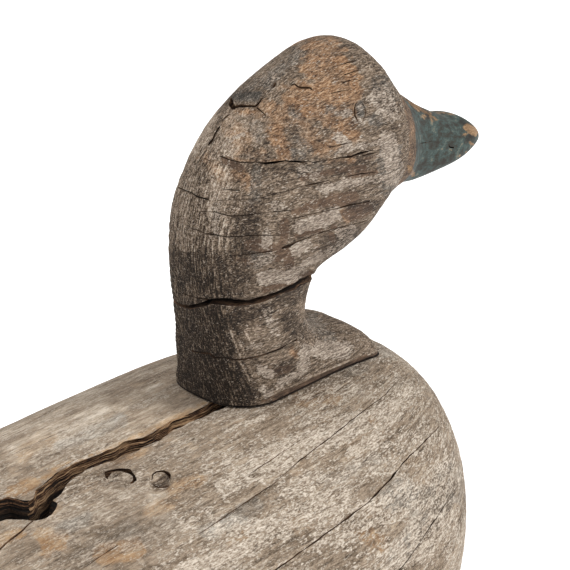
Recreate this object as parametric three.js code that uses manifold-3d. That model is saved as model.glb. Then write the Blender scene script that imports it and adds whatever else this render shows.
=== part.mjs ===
// A black duck decoy carved from two pieces of wood: a long body with a flat underside, and a head
// with its neck that sits on the back. Weather has opened the wood along the grain.
// Millimetres, X from tail to bill, Y to the duck's left, Z up. The origin lies on the flat of the
// underside, below the middle of the whole decoy.

import * as THREE from "three";
import { ParametricGeometry } from "three/addons/geometries/ParametricGeometry.js";
import { mergeVertices } from "three/addons/utils/BufferGeometryUtils.js";
import Module from "manifold-3d";

const wasm = await Module();
wasm.setup();

// Body: driving dimensions
const SEAT_Z = 97;            // flat along the back, where the head sits
const STERN_X = -206.5;       // tip of the tail
const BOW_X = 175.8;          // foremost point of the breast
const HALF_WIDTH = 74;        // widest half breadth
const PARALLEL = [33.5, 63.5];  // stretch of the body that keeps its full breadth
const BREAST_Z = 49;          // height of the foremost point of the breast
const TAIL_Z = 64;            // height of the tip of the tail
const CREST_Z = SEAT_Z + 1.2; // the back before its crest was planed flat
const KEEL_Z = -4;            // the underside before it was planed flat
const WIDEST_SHARE = 0.45;    // height of the widest line between underside and back
const BREAST_RISE_X = 103.5;  // where the back starts to fall to the breast
const BREAST_SWEEP_X = 93.5;  // where the underside starts to rise to the breast
const RUMP_X = 3.5;           // where the back starts to fall to the tail
const TAIL_SWEEP_X = -46.5;   // where the underside starts to rise to the tail
const BODY_RINGS = 46;
const BODY_SIDES = 44;

// Roundness of the body's outlines: power and root of each fall-off
const BOW_ROUND = [2.35, 2.05];  // plan towards the breast
const STERN_ROUND = [1.8, 2.2];  // plan towards the tail
const BREAST_ROUND = [4.1, 2];   // back line towards the breast
const RUMP_ROUND = [1.8, 1];     // back line towards the tail
const CHEST_ROUND = [4, 2];      // underside towards the breast
const TAIL_ROUND = [1.5, 1];     // underside towards the tail
const BACK_POWER = 2.1;          // squareness of the section above its widest line
const CHINE_POWERS = [2, 2.8];   // squareness below it, at the ends and amidships
const CHINE_FADE = [90, 60];     // length over which that changes, at the tail and at the breast

// Head: driving dimensions
const NECK_X = 93.5;          // middle of the neck, where its templates are measured from
const JOINT_GAP = 0.3;        // joint line between head and body
const HEAD_RINGS = 52;
const HEAD_SIDES = 32;
const FOOT_FADE = 22;         // height over which the uneven left side of the foot dies out
const LEFT_BACK_SQUARE = 1.3;   // the foot's back corner is squarer on the left
const LEFT_FRONT_SQUARE = 1.5;  // and so is its front corner
const LEFT_EXTRA = 1.1;       // extra half breadth of the foot on the left
const MIDDLE = 1e-9;          // sines up to this one count as the middle line
const TENSION = 0.5;          // of the curves through the templates

// Head templates, from the foot up the neck, over the crown and out to the bill tip. Each one is a
// section between a point on the nape, crown or top of the bill and a point on the throat, jaw or
// underside of the bill: x and z of both points from the neck's middle and the seat, half width,
// place of the widest line between the points, squareness of the back half and of the front half.
const HEAD_TEMPLATES = [
  [-14.4, 0, 53.1, 0, 17.3, 0.22, 2.1, 5],
  [-15, 3, 51, 2.1, 17.3, 0.24, 2.1, 4.4],
  [-15.9, 6.5, 44.7, 7.9, 16.9, 0.3, 2.1, 2.5],
  [-17, 11, 34, 10.8, 16.6, 0.38, 2.2, 2.3],
  [-18.3, 17, 28, 14, 16.5, 0.44, 2.2, 2.3],
  [-19.4, 24, 25.3, 19, 16.6, 0.48, 2.3, 2.2],
  [-20.5, 33, 24.9, 24, 16.8, 0.5, 2.3, 2.2],
  [-21.3, 43, 26.3, 28.8, 17.4, 0.5, 2.3, 2.2],
  [-21.5, 54, 28.6, 32, 18.4, 0.52, 2.2, 2.1],
  [-19.8, 65, 31.6, 33.9, 20, 0.54, 2.1, 2],
  [-14.3, 76.6, 38.9, 35.2, 21.6, 0.56, 2, 2],
  [-3.6, 88.1, 44.6, 36.8, 22.7, 0.57, 2, 2],
  [10.2, 96.2, 48.5, 38.8, 23.5, 0.58, 2, 2],
  [25.2, 101.4, 52, 42.8, 24, 0.58, 2, 2],
  [39, 104.4, 55.5, 46.3, 23.8, 0.57, 2, 2],
  [49.6, 102.3, 58.7, 47.5, 22.8, 0.56, 2, 2],
  [57.8, 93.8, 61.6, 48.2, 20.9, 0.55, 2, 2],
  [64.6, 86.3, 64.6, 48.1, 18.3, 0.54, 2, 2],
  [70.5, 81, 67.4, 48.4, 15.7, 0.53, 2, 2.2],
  [75.3, 77.7, 70.2, 48.6, 13.6, 0.52, 2.1, 2.6],
  [81.2, 73.5, 75, 48.3, 13, 0.55, 2.2, 2.8],
  [89, 68.9, 84, 49, 13.3, 0.6, 2.2, 2.8],
  [97, 64.8, 93.5, 50.3, 13.4, 0.62, 2.2, 2.8],
  [104.5, 63, 103, 51.8, 11.6, 0.6, 2.1, 2.6],
  [110.5, 59.2, 110, 52.8, 7.6, 0.55, 2, 2.2],
  [113, 57, 113, 56.2, 1.2, 0.5, 2, 2],
];

// Openings in the wood: place on the surface, width there and depth
const BACK_CHECK = [  // x, y, width, depth
  [104, -4.2, 3, 8], [86, -4.6, 4.6, 11], [72, -5.1, 5.2, 12], [56, -5.5, 6.6, 13], [46, -4.5, 5.2, 13],
  [35, -3.4, 5, 13], [27, -2.4, 5, 13], [19, -2.6, 7.2, 12], [12, -4.7, 8, 12], [5, -7.6, 7, 11],
];
const BACK_SPLIT = [  // runs on behind the knothole
  [-3, -16.4, 0.8, 3], [-9, -17.8, 1, 5], [-19, -20.3, 1.2, 6], [-44, -26, 1.2, 6], [-76, -29, 1, 4],
  [-104, -31, 0.5, 2],
];
const SIDE_SPLITS = [
  [
    [147, -40, 0.4, 2], [129, -48, 0.9, 6], [104, -54.6, 1.1, 7], [80, -58.3, 1.1, 7],
    [49, -60, 1, 6], [12, -61, 0.8, 5], [-30, -60.5, 0.4, 2],
  ],
  [[138, -54, 0.4, 2], [118, -62.5, 0.9, 5], [93, -69, 0.8, 5], [62, -71.5, 0.4, 2]],
];
const KNOTHOLE = { x: -2.2, y: -9, mouth: 8.2, floor: 5.2, depth: 13, stretch: 1.12 };
const BOWL_FLAT = 0.7;   // share of a bowl's floor that is flat
const BOWL_EDGE = 0.9;   // share of its depth down to the floor's rounded edge
const BOWL_SIDES = 20;
const KNOTS = [  // plug of a dead knot with an open rim: place, rim radii, depth, offset of the plug
  { x: 29, y: -15.9, long: 4.9, across: 4.6, depth: 2.6, shift: [-0.9, 0.9] },
  { x: 36.2, y: -25.4, long: 6.6, across: 3.6, depth: 1.8, shift: [-0.7, 0.4] },
];
const RIM_TAPER = 0.86;   // radius of a rim's floor over that of its mouth
const PLUG_FLARE = 1.02;  // the same for the plug
const PLUG_STANDS = 1.2;  // height of the plug's cutter over the rim's
const PLUG_DEEPER = 1;    // and how far it reaches below the rim's floor
const KNOT_TURN = Math.PI / 4;  // the knots' long axis, turned from X towards Y
const KNOT_PLUG_SHARE = 0.84;   // plug radius over rim radius

// Around the neck: degrees from the nape round the right side, height, gap, depth
const NECK_SPLIT_X = NECK_X + 2.5;  // middle of the neck there
const NECK_SPLIT = [
  [-42, 128.3, 0.5, 3], [-18, 129.9, 1, 5], [3, 131.7, 1.1, 8], [13, 133.5, 1.1, 9], [20, 135.2, 1.1, 10],
  [29, 135.5, 1.4, 10], [42, 134.6, 1.7, 10], [55, 134.2, 1.5, 10], [75, 134.2, 1.4, 10],
  [102, 134.1, 1.5, 10], [117, 134.1, 1.7, 10], [138, 132.5, 1.9, 10], [158, 131, 1.6, 8],
  [182, 129, 1.1, 5], [204, 127.5, 0.5, 3],
];
// On the right of the head: x, height, gap, depth
const CHEEK_SPLITS = [
  [[84, 178.2, 0.5, 2], [91, 176.8, 1, 4], [104, 174.9, 1.1, 5], [120, 172.8, 0.9, 4], [132, 171.6, 0.4, 2]],
  [[82, 149.6, 0.5, 2], [98, 150.2, 0.9, 4], [116, 150.8, 0.8, 4], [131, 148.2, 0.4, 2]],
];
// Chip at the nape: points on the surface, width, depth
const CHIP_OUT = [-0.62, -0.1, 0.78];
const NAPE_CHIP = [
  [98.6, 6.2, 189.6, 0.6, 1], [96, 3.7, 188.8, 2.2, 3], [94.4, 1, 188.4, 2.6, 3.4],
  [96.6, -2, 189.8, 1.8, 2.2], [98.6, -4.9, 190.2, 1.4, 1.8], [106, -5.2, 194, 0.5, 0.8],
];
const PROUD = 2.5;    // how far a cutter stands out of the surface
const WELD = 1e-4;    // corners closer than this are one
const FINEST = 0.02;  // edges shorter than this are closed up after the cuts

// Finish of each piece: colour and roughness
const BODY_FINISH = [0xb3a18e, 0.9];
const HEAD_FINISH = [0x857465, 0.88];

// Solids

function toSolid(geometry) {
  const plain = geometry.clone();
  plain.deleteAttribute("normal");
  plain.deleteAttribute("uv");
  const merged = mergeVertices(plain, WELD);
  const corners = merged.index.array;
  const kept = [];
  for (let i = 0; i < corners.length; i += 3) {
    const [a, b, c] = corners.slice(i, i + 3);
    if (a !== b && b !== c && c !== a) kept.push(a, b, c);
  }
  return new wasm.Manifold(new wasm.Mesh({
    numProp: 3,
    vertProperties: new Float32Array(merged.attributes.position.array),
    triVerts: new Uint32Array(kept),
  }));
}

function toGeometry(solid) {
  const mesh = solid.simplify(FINEST).getMesh();
  const geometry = new THREE.BufferGeometry();
  geometry.setAttribute("position", new THREE.BufferAttribute(mesh.vertProperties, 3));
  geometry.setIndex(new THREE.BufferAttribute(mesh.triVerts, 1));
  geometry.computeVertexNormals();
  return geometry;
}

// Rounded outlines: the fall-off of a superellipse, and its point at an angle

const falloff = (share, power, root) => (1 - Math.min(1, Math.max(0, share)) ** power) ** (1 / root);
const bent = (value, power) => Math.sign(value) * Math.abs(value) ** (2 / power);
const { lerp, clamp, degToRad } = THREE.MathUtils;

// Body

function bodySection(x) {
  const [aft, fore] = PARALLEL;
  const half = x > (aft + fore) / 2
    ? HALF_WIDTH * falloff((x - fore) / (BOW_X - fore), ...BOW_ROUND)
    : HALF_WIDTH * falloff((aft - x) / (aft - STERN_X), ...STERN_ROUND);
  const breast = (x - BREAST_RISE_X) / (BOW_X - BREAST_RISE_X);
  const rump = (RUMP_X - x) / (RUMP_X - STERN_X);
  const top = rump > 0
    ? lerp(TAIL_Z, CREST_Z, falloff(rump, ...RUMP_ROUND))
    : lerp(BREAST_Z, CREST_Z, falloff(breast, ...BREAST_ROUND));
  const chest = (x - BREAST_SWEEP_X) / (BOW_X - BREAST_SWEEP_X);
  const tail = (TAIL_SWEEP_X - x) / (TAIL_SWEEP_X - STERN_X);
  const bottom = tail > 0
    ? lerp(TAIL_Z, KEEL_Z, falloff(tail, ...TAIL_ROUND))
    : lerp(BREAST_Z, KEEL_Z, falloff(chest, ...CHEST_ROUND));
  const fullness = Math.min((x - STERN_X) / CHINE_FADE[0], (BOW_X - x) / CHINE_FADE[1]);
  const chine = lerp(...CHINE_POWERS, Math.sqrt(clamp(fullness, 0, 1)));
  return { half, top, bottom, wide: lerp(bottom, top, WIDEST_SHARE), chine };
}

function bodySurface(u, v, target) {
  const x = lerp(STERN_X, BOW_X, (1 - Math.cos(Math.PI * v)) / 2);
  const section = bodySection(x);
  if (v === 0 || v === 1) {
    target.set(x, 0, section.wide);
    return;
  }
  const c = Math.cos(2 * Math.PI * u);
  const s = Math.sin(2 * Math.PI * u);
  const power = s > 0 ? BACK_POWER : section.chine;
  const reach = s > 0 ? section.top - section.wide : section.wide - section.bottom;
  const z = section.wide + reach * bent(s, power);
  target.set(x, section.half * bent(c, power), clamp(z, 0, SEAT_Z));
}

// Head

const templateCurve = (x, z) => new THREE.CatmullRomCurve3(
  HEAD_TEMPLATES.map((row) => new THREE.Vector3(row[x], 0, row[z])), false, "catmullrom", TENSION,
);
const napeToBill = templateCurve(0, 1);
const throatToBill = templateCurve(2, 3);
const widths = new THREE.CatmullRomCurve3(
  HEAD_TEMPLATES.map((row) => new THREE.Vector3(row[4], row[5], 0)), false, "catmullrom", TENSION,
);
const powers = new THREE.CatmullRomCurve3(
  HEAD_TEMPLATES.map((row) => new THREE.Vector3(row[6], row[7], 0)), false, "catmullrom", TENSION,
);

function headSurface(u, v, target) {
  const ring = Math.round(v * HEAD_RINGS);
  const along = clamp((ring - 1) / (HEAD_RINGS - 2), 0, 1);
  const back = napeToBill.getPoint(along);
  const front = throatToBill.getPoint(along);
  const { x: half, y: widest } = widths.getPoint(along);
  const { x: backPower, y: frontPower } = powers.getPoint(along);
  const c = Math.cos(2 * Math.PI * u);
  const s = -Math.sin(2 * Math.PI * u);
  const left = s > MIDDLE ? Math.max(0, 1 - (back.z + front.z) / 2 / FOOT_FADE) : 0;
  const power = c > 0 ? backPower + LEFT_BACK_SQUARE * left : frontPower + LEFT_FRONT_SQUARE * left;
  const inward = Math.abs(c) ** (2 / power);
  let share = c > 0 ? widest * (1 - inward) : widest + (1 - widest) * inward;
  let side = (half + LEFT_EXTRA * left) * bent(s, power);
  if (ring === 0 || ring === HEAD_RINGS) {
    share = 0.5;
    side = 0;
  }
  target.lerpVectors(back, front, share);
  target.set(target.x + NECK_X, side, target.z + SEAT_Z + JOINT_GAP);
}

// Cutters

// Where a ray first meets a mesh, with the way out of the surface there
const caster = new THREE.Raycaster();
function meet(mesh, from, toward) {
  caster.set(from, toward.clone().sub(from).normalize());
  const [found] = caster.intersectObject(mesh);
  return { at: found.point, out: found.face.normal.clone() };
}

// A split is a wedge along a path: open at the surface and closed at its root
function wedge(path) {
  const points = [];
  path.forEach(({ at, out, width, depth }, i) => {
    const before = path[Math.max(i - 1, 0)].at;
    const after = path[Math.min(i + 1, path.length - 1)].at;
    const across = out.clone().cross(after.clone().sub(before)).normalize();
    const reach = (width / 2) * (1 + PROUD / depth);
    points.push(
      at.clone().addScaledVector(out, PROUD).addScaledVector(across, -reach),
      at.clone().addScaledVector(out, PROUD).addScaledVector(across, reach),
      at.clone().addScaledVector(out, -depth),
    );
  });
  const faces = [0, 1, 2];
  for (let i = 0; i < path.length - 1; i += 1) {
    for (let j = 0; j < 3; j += 1) {
      const a = 3 * i + j;
      const b = 3 * i + (j + 1) % 3;
      faces.push(a, a + 3, b, b, a + 3, b + 3);
    }
  }
  const last = 3 * (path.length - 1);
  faces.push(last, last + 2, last + 1);
  const geometry = new THREE.BufferGeometry().setFromPoints(points);
  geometry.setIndex(faces);
  return toSolid(geometry);
}

const topSplit = (mesh, rows) => wedge(rows.map(([x, y, width, depth]) => ({
  ...meet(mesh, new THREE.Vector3(x, y, 2 * SEAT_Z), new THREE.Vector3(x, y, 0)), width, depth,
})));

const neckSplit = (mesh, rows) => wedge(rows.map(([degrees, z, width, depth]) => {
  const axis = new THREE.Vector3(NECK_SPLIT_X, 0, z);
  const way = new THREE.Vector3(-Math.cos(degToRad(degrees)), -Math.sin(degToRad(degrees)), 0);
  const { at } = meet(mesh, axis.clone().addScaledVector(way, 2 * SEAT_Z), axis);
  return { at, out: way, width, depth };
}));

const cheekSplit = (mesh, rows) => wedge(rows.map(([x, z, width, depth]) => ({
  ...meet(mesh, new THREE.Vector3(x, -2 * HALF_WIDTH, z), new THREE.Vector3(x, 0, z)), width, depth,
})));

const chip = (rows) => {
  const out = new THREE.Vector3(...CHIP_OUT);
  return wedge(rows.map(([x, y, z, width, depth]) => ({
    at: new THREE.Vector3(x, y, z), out, width, depth,
  })));
};

// A bowl sunk from the seat's height: wider at its mouth than at its floor
function bowl(mouth, floor, depth) {
  const grow = (mouth - floor) / depth;
  const profile = [
    new THREE.Vector2(0, -depth),
    new THREE.Vector2(floor * BOWL_FLAT, -depth),
    new THREE.Vector2(floor, -depth * BOWL_EDGE),
    new THREE.Vector2(mouth + PROUD * grow, PROUD),
    new THREE.Vector2(0, PROUD),
  ];
  return new THREE.LatheGeometry(profile, BOWL_SIDES).rotateX(Math.PI / 2);
}

function knothole() {
  const { x, y, mouth, floor, depth, stretch } = KNOTHOLE;
  return toSolid(bowl(mouth, floor, depth).scale(stretch, 1 / stretch, 1).translate(x, y, SEAT_Z));
}

function knotRim(mesh, { x, y, long, across, depth, shift }) {
  const { at } = meet(mesh, new THREE.Vector3(x, y, 2 * SEAT_Z), new THREE.Vector3(x, y, 0));
  const rim = bowl(1, RIM_TAPER, depth).scale(long, across, 1).rotateZ(KNOT_TURN).translate(x, y, at.z);
  const share = KNOT_PLUG_SHARE;
  const plug = bowl(1, PLUG_FLARE, depth + PLUG_DEEPER).scale(long * share, across * share, PLUG_STANDS)
    .rotateZ(KNOT_TURN).translate(x + shift[0], y + shift[1], at.z);
  return toSolid(rim).subtract(toSolid(plug));
}

// Pieces

const wood = (color, roughness) => new THREE.MeshStandardMaterial({ color, roughness, metalness: 0 });

function makeBody() {
  const blank = new ParametricGeometry(bodySurface, BODY_SIDES, BODY_RINGS);
  const probe = new THREE.Mesh(blank, new THREE.MeshBasicMaterial({ side: THREE.DoubleSide }));
  let solid = toSolid(blank);
  solid = solid.subtract(topSplit(probe, BACK_CHECK));
  solid = solid.subtract(topSplit(probe, BACK_SPLIT));
  solid = solid.subtract(knothole());
  for (const rows of SIDE_SPLITS) solid = solid.subtract(topSplit(probe, rows));
  for (const knot of KNOTS) solid = solid.subtract(knotRim(probe, knot));
  const body = new THREE.Mesh(toGeometry(solid), wood(...BODY_FINISH));
  body.name = "body";
  return body;
}

function makeHead() {
  const blank = new ParametricGeometry(headSurface, HEAD_SIDES, HEAD_RINGS);
  const probe = new THREE.Mesh(blank, new THREE.MeshBasicMaterial({ side: THREE.DoubleSide }));
  let solid = toSolid(blank);
  solid = solid.subtract(neckSplit(probe, NECK_SPLIT));
  for (const rows of CHEEK_SPLITS) solid = solid.subtract(cheekSplit(probe, rows));
  solid = solid.subtract(chip(NAPE_CHIP));
  const head = new THREE.Mesh(toGeometry(solid), wood(...HEAD_FINISH));
  head.name = "head";
  return head;
}

const decoy = new THREE.Group();
decoy.add(makeBody(), makeHead());

export default decoy;
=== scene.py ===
import itertools
import math

import bpy
import numpy as np
from mathutils import Matrix, Vector
from mathutils.bvhtree import BVHTree


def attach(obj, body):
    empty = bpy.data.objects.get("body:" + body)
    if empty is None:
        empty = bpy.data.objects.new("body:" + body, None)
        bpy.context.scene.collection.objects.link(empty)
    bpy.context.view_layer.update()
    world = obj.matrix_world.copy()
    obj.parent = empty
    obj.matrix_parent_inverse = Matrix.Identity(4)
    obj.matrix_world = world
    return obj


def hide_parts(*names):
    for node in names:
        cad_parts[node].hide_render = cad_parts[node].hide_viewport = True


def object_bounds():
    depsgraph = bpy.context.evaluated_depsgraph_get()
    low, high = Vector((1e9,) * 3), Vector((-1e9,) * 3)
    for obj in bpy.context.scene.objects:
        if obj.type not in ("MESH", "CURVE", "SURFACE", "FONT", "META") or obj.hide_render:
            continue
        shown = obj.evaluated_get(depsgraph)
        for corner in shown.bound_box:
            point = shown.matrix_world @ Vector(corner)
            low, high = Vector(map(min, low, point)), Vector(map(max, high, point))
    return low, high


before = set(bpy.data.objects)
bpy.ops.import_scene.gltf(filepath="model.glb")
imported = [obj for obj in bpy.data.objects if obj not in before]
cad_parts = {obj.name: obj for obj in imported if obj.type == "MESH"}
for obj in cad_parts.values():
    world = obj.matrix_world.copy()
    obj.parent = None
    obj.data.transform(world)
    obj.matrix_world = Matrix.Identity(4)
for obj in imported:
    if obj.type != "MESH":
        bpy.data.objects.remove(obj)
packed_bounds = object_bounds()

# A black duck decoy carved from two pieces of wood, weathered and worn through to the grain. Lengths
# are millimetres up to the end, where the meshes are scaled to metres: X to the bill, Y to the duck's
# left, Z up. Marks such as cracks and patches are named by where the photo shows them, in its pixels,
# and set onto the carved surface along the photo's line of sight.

MM = 0.001

# The photo's camera
PHOTO_SIDE = 570    # pixels
LENS_PIXELS = 2000  # focal length
EYE = Vector((-304.4, -394.9, 393.0))
HEADING = math.radians(43.2)  # from X towards Y
PITCH = math.radians(25)      # below the level
AHEAD = Vector((math.cos(HEADING) * math.cos(PITCH), math.sin(HEADING) * math.cos(PITCH), -math.sin(PITCH)))
RIGHT = Vector((math.sin(HEADING), -math.cos(HEADING), 0))
UPWARD = RIGHT.cross(AHEAD)

# Body
SEAT_Z = 97                    # flat along the back, where the head sits
STERN_X, BOW_X = -206.5, 175.8
HALF_WIDTH = 74
PARALLEL = (33.5, 63.5)        # stretch that keeps its full breadth
BREAST_Z, TAIL_Z = 49, 64      # tips of the breast and of the tail
CREST_Z, KEEL_Z = 98.2, -4     # back and underside before they were planed flat
WIDEST_SHARE = 0.45            # height of the widest line between underside and back
BREAST_RISE_X, RUMP_X = 103.5, 3.5          # where the back starts to fall to the breast and to the tail
BREAST_SWEEP_X, TAIL_SWEEP_X = 93.5, -46.5  # where the underside starts to rise to them
BOW_ROUND, STERN_ROUND = (2.35, 2.05), (1.8, 2.2)  # power and root of each outline's fall: plan
BREAST_ROUND, RUMP_ROUND = (4.1, 2), (1.8, 1)      # back line
CHEST_ROUND, TAIL_ROUND = (4, 2), (1.5, 1)         # underside
BACK_POWER = 2.1                   # squareness of the section above its widest line
CHINE_POWER, CHINE_EXTRA = 2, 0.8  # below it, at the ends, and what it gains amidships
STERN_FADE, BOW_FADE = 90, 60      # lengths over which it does
BODY_RINGS = 316
BODY_TURN = [(0, 26), (0.18, 140), (0.55, 26), (0.75, 22), (1, 0)]  # shares of a turn, steps up to the next
PLAIN_X, PLAIN_DENSITY = -40, 0.45  # behind this the photo shows nothing, and rings lie wider apart

# Head
NECK_X = 93.5      # middle of the neck, where its templates are measured from
JOINT_GAP = 0.3    # joint line between head and body
FOOT_FADE = 22     # height over which the uneven left side of the foot dies out
LEFT_BACK_SQUARE, LEFT_FRONT_SQUARE, LEFT_EXTRA = 1.3, 1.5, 1.1
RIGHT_FRONT_SQUARE = 6  # the foot's front corner on the right is sharper
CORNER_FADE = 8    # height over which that dies out
SAG_FADE = 4       # height over which the foot's edge bends down to meet the back
MIDDLE = 1e-9      # sines up to this one count as the middle line
HEAD_RINGS = 378
HEAD_TURN = [(-0.15, 150), (0.42, 60), (0.85, 0)]
FOOT_Z, FOOT_DENSITY = 3, 3.6   # rings lie closer below this height
BILL_X, BILL_DENSITY = 75, 0.7  # and wider apart in front of this place
# Sections from the foot up the neck, over the crown and out to the bill tip. Each lies between a point on
# the nape, crown or top of the bill and one on the throat, jaw or underside of the bill: x and z of both,
# half width, place of the widest line between them, squareness of the back half and of the front half.
HEAD_TEMPLATES = np.array([
    (-14.4, 0, 53.1, 0, 17.3, 0.22, 2.1, 5),
    (-15, 3, 51, 2.1, 17.3, 0.24, 2.1, 4.4),
    (-15.9, 6.5, 44.7, 7.9, 16.9, 0.3, 2.1, 2.5),
    (-17, 11, 34, 10.8, 16.6, 0.38, 2.2, 2.3),
    (-18.3, 17, 28, 14, 16.5, 0.44, 2.2, 2.3),
    (-19.4, 24, 25.3, 19, 16.6, 0.48, 2.3, 2.2),
    (-20.5, 33, 24.9, 24, 16.8, 0.5, 2.3, 2.2),
    (-21.3, 43, 26.3, 28.8, 17.4, 0.5, 2.3, 2.2),
    (-21.5, 54, 28.6, 32, 18.4, 0.52, 2.2, 2.1),
    (-19.8, 65, 31.6, 33.9, 20, 0.54, 2.1, 2),
    (-14.3, 76.6, 38.9, 35.2, 21.6, 0.56, 2, 2),
    (-3.6, 88.1, 44.6, 36.8, 22.7, 0.57, 2, 2),
    (10.2, 96.2, 48.5, 38.8, 23.5, 0.58, 2, 2),
    (25.2, 101.4, 52, 42.8, 24, 0.58, 2, 2),
    (39, 104.4, 55.5, 46.3, 23.8, 0.57, 2, 2),
    (49.6, 102.3, 58.7, 47.5, 22.8, 0.56, 2, 2),
    (57.8, 93.8, 61.6, 48.2, 20.9, 0.55, 2, 2),
    (64.6, 86.3, 64.6, 48.1, 18.3, 0.54, 2, 2),
    (70.5, 81, 67.4, 48.4, 15.7, 0.53, 2, 2.2),
    (75.3, 77.7, 70.2, 48.6, 13.6, 0.52, 2.1, 2.6),
    (81.2, 73.5, 75, 48.3, 13, 0.55, 2.2, 2.8),
    (89, 68.9, 84, 49, 13.3, 0.6, 2.2, 2.8),
    (97, 64.8, 93.5, 50.3, 13.4, 0.62, 2.2, 2.8),
    (104.5, 63, 103, 51.8, 11.6, 0.6, 2.1, 2.6),
    (110.5, 59.2, 110, 52.8, 7.6, 0.55, 2, 2.2),
    (113, 57, 113, 56.2, 1.2, 0.5, 2, 2),
])

# Growth rings of the head's wood run along X round this line
PITH_Y, PITH_Z = -230, 160
WIDE_RINGS = 0.42   # rings per millimetre on the right cheek
RING_TURN = 222.5   # distance from the pith where they start to close up, by one more per millimetre
RING_FADE = 3
LATEWOOD = (0.5, 0.8, 0.88, 1)  # where each ring's dense band starts, is full, starts to end and ends


# Random fields

def lattice(cell, seed):
    """A random value from 0 to 1 for every whole-numbered cell."""
    n = cell[..., 0] * 73856093 ^ cell[..., 1] * 19349663 ^ cell[..., 2] * 83492791 ^ seed * 7919
    n = (n ^ (n >> 13)) * 1274126177 & 0xFFFFFFFF
    n = (n ^ (n >> 15)) * 2246822519 & 0xFFFFFFFF
    return ((n ^ (n >> 16)) & 0xFFFFFF) / 0xFFFFFF


def noise(points, size, seed, octaves=1):
    """A smooth random field from -1 to 1, with cells of the given size along X, Y and Z."""
    total = weight = 0
    for octave in range(octaves):
        at = points / (np.array(size, float) / 2**octave) + 17.3 * octave
        base = np.floor(at).astype(np.int64)
        share = at - base
        share = share * share * (3 - 2 * share)
        value = 0
        for corner in itertools.product((0, 1), repeat=3):
            weights = np.prod(np.where(corner, share, 1 - share), axis=-1)
            value = value + weights * lattice(base + np.array(corner), seed + 101 * octave)
        total = total + value * 0.5**octave
        weight += 0.5**octave
    return 2 * total / weight - 1


def smooth(low, high, value):
    t = np.clip((value - low) / (high - low), 0, 1)
    return t * t * (3 - 2 * t)


# Carved surfaces

def falloff(share, power, root):
    return (1 - np.clip(share, 0, 1) ** power) ** (1 / root)


def bent(value, power):
    return np.sign(value) * np.abs(value) ** (2 / power)


def between(a, b, share):
    return a + (b - a) * share


def towards(x, start_x, end_x, crest, end, roundness):
    """A measure that keeps its crest up to the start and falls to its end from there."""
    return between(end, crest, falloff((x - start_x) / (end_x - start_x), *roundness))


def body_half_width(x):
    fore = towards(x, PARALLEL[1], BOW_X, HALF_WIDTH, 0, BOW_ROUND)
    aft = towards(x, PARALLEL[0], STERN_X, HALF_WIDTH, 0, STERN_ROUND)
    return np.where(x > sum(PARALLEL) / 2, fore, aft)


def body_surface(x, angle):
    breast = towards(x, BREAST_RISE_X, BOW_X, CREST_Z, BREAST_Z, BREAST_ROUND)
    rump = towards(x, RUMP_X, STERN_X, CREST_Z, TAIL_Z, RUMP_ROUND)
    chest = towards(x, BREAST_SWEEP_X, BOW_X, KEEL_Z, BREAST_Z, CHEST_ROUND)
    tail = towards(x, TAIL_SWEEP_X, STERN_X, KEEL_Z, TAIL_Z, TAIL_ROUND)
    top = np.where(x < RUMP_X, rump, breast)
    bottom = np.where(x < TAIL_SWEEP_X, tail, chest)
    wide = between(bottom, top, WIDEST_SHARE)
    inland = np.minimum((BOW_X - x) / BOW_FADE, (x - STERN_X) / STERN_FADE)
    chine = CHINE_POWER + CHINE_EXTRA * np.sqrt(np.clip(inland, 0, 1))
    c, s = np.cos(angle), np.sin(angle)
    power = np.where(s > 0, BACK_POWER, chine)
    z = wide + np.where(s > 0, top - wide, wide - bottom) * bent(s, power)
    y = body_half_width(x) * bent(c, power)
    return np.stack(np.broadcast_arrays(x, y, np.clip(z, 0, SEAT_Z)), -1)


def body_top(x, y):
    """Height of the back over a place in front of the rump."""
    top = towards(x, BREAST_RISE_X, BOW_X, CREST_Z, BREAST_Z, BREAST_ROUND)
    wide = between(KEEL_Z, top, WIDEST_SHARE)
    share = np.abs(y) / np.maximum(body_half_width(x), 1)
    return np.minimum(SEAT_Z, between(wide, top, falloff(share, BACK_POWER, BACK_POWER)))


def template_curve(along):
    """The head templates' columns at a place from 0 at the foot to 1 at the bill tip."""
    first, second, *_, late, last = HEAD_TEMPLATES
    rows = np.vstack([2 * first - second, HEAD_TEMPLATES, 2 * last - late])
    steps = len(HEAD_TEMPLATES) - 1
    at = np.clip(along, 0, 1) * steps
    row = np.minimum(at.astype(int), steps - 1)
    t = (at - row)[..., None]
    before, start, end, after = (rows[row + k] for k in range(4))
    leave, arrive = (end - before) / 2, (after - start) / 2
    return ((2 * t**3 - 3 * t**2 + 1) * start + (t**3 - 2 * t**2 + t) * leave
            + (3 * t**2 - 2 * t**3) * end + (t**3 - t**2) * arrive)


def head_surface(along, angle):
    columns = np.moveaxis(template_curve(along), -1, 0)
    back_x, back_z, front_x, front_z, half, widest, back_power, front_power = columns
    c, s = np.cos(angle), -np.sin(angle)
    height = (back_z + front_z) / 2
    left = np.where(s > MIDDLE, np.clip(1 - height / FOOT_FADE, 0, None), 0)
    right = np.where(s < -MIDDLE, np.clip(1 - height / CORNER_FADE, 0, None), 0)
    front_power = front_power + LEFT_FRONT_SQUARE * left + RIGHT_FRONT_SQUARE * right
    power = np.where(c > 0, back_power + LEFT_BACK_SQUARE * left, front_power)
    inward = np.abs(c) ** (2 / power)
    share = np.where(c > 0, widest * (1 - inward), widest + (1 - widest) * inward)
    y = (half + LEFT_EXTRA * left) * bent(s, power)
    x = between(back_x, front_x, share) + NECK_X
    z = between(back_z, front_z, share) + SEAT_Z + JOINT_GAP
    return np.stack([x, y, z], -1)


def spread(stops):
    """Places from the first stop to the last, with a number of steps between each two stops."""
    places = [np.linspace(a, b, steps, endpoint=False) for (a, steps), (b, _) in zip(stops, stops[1:])]
    return np.append(np.concatenate(places), stops[-1][0])


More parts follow.
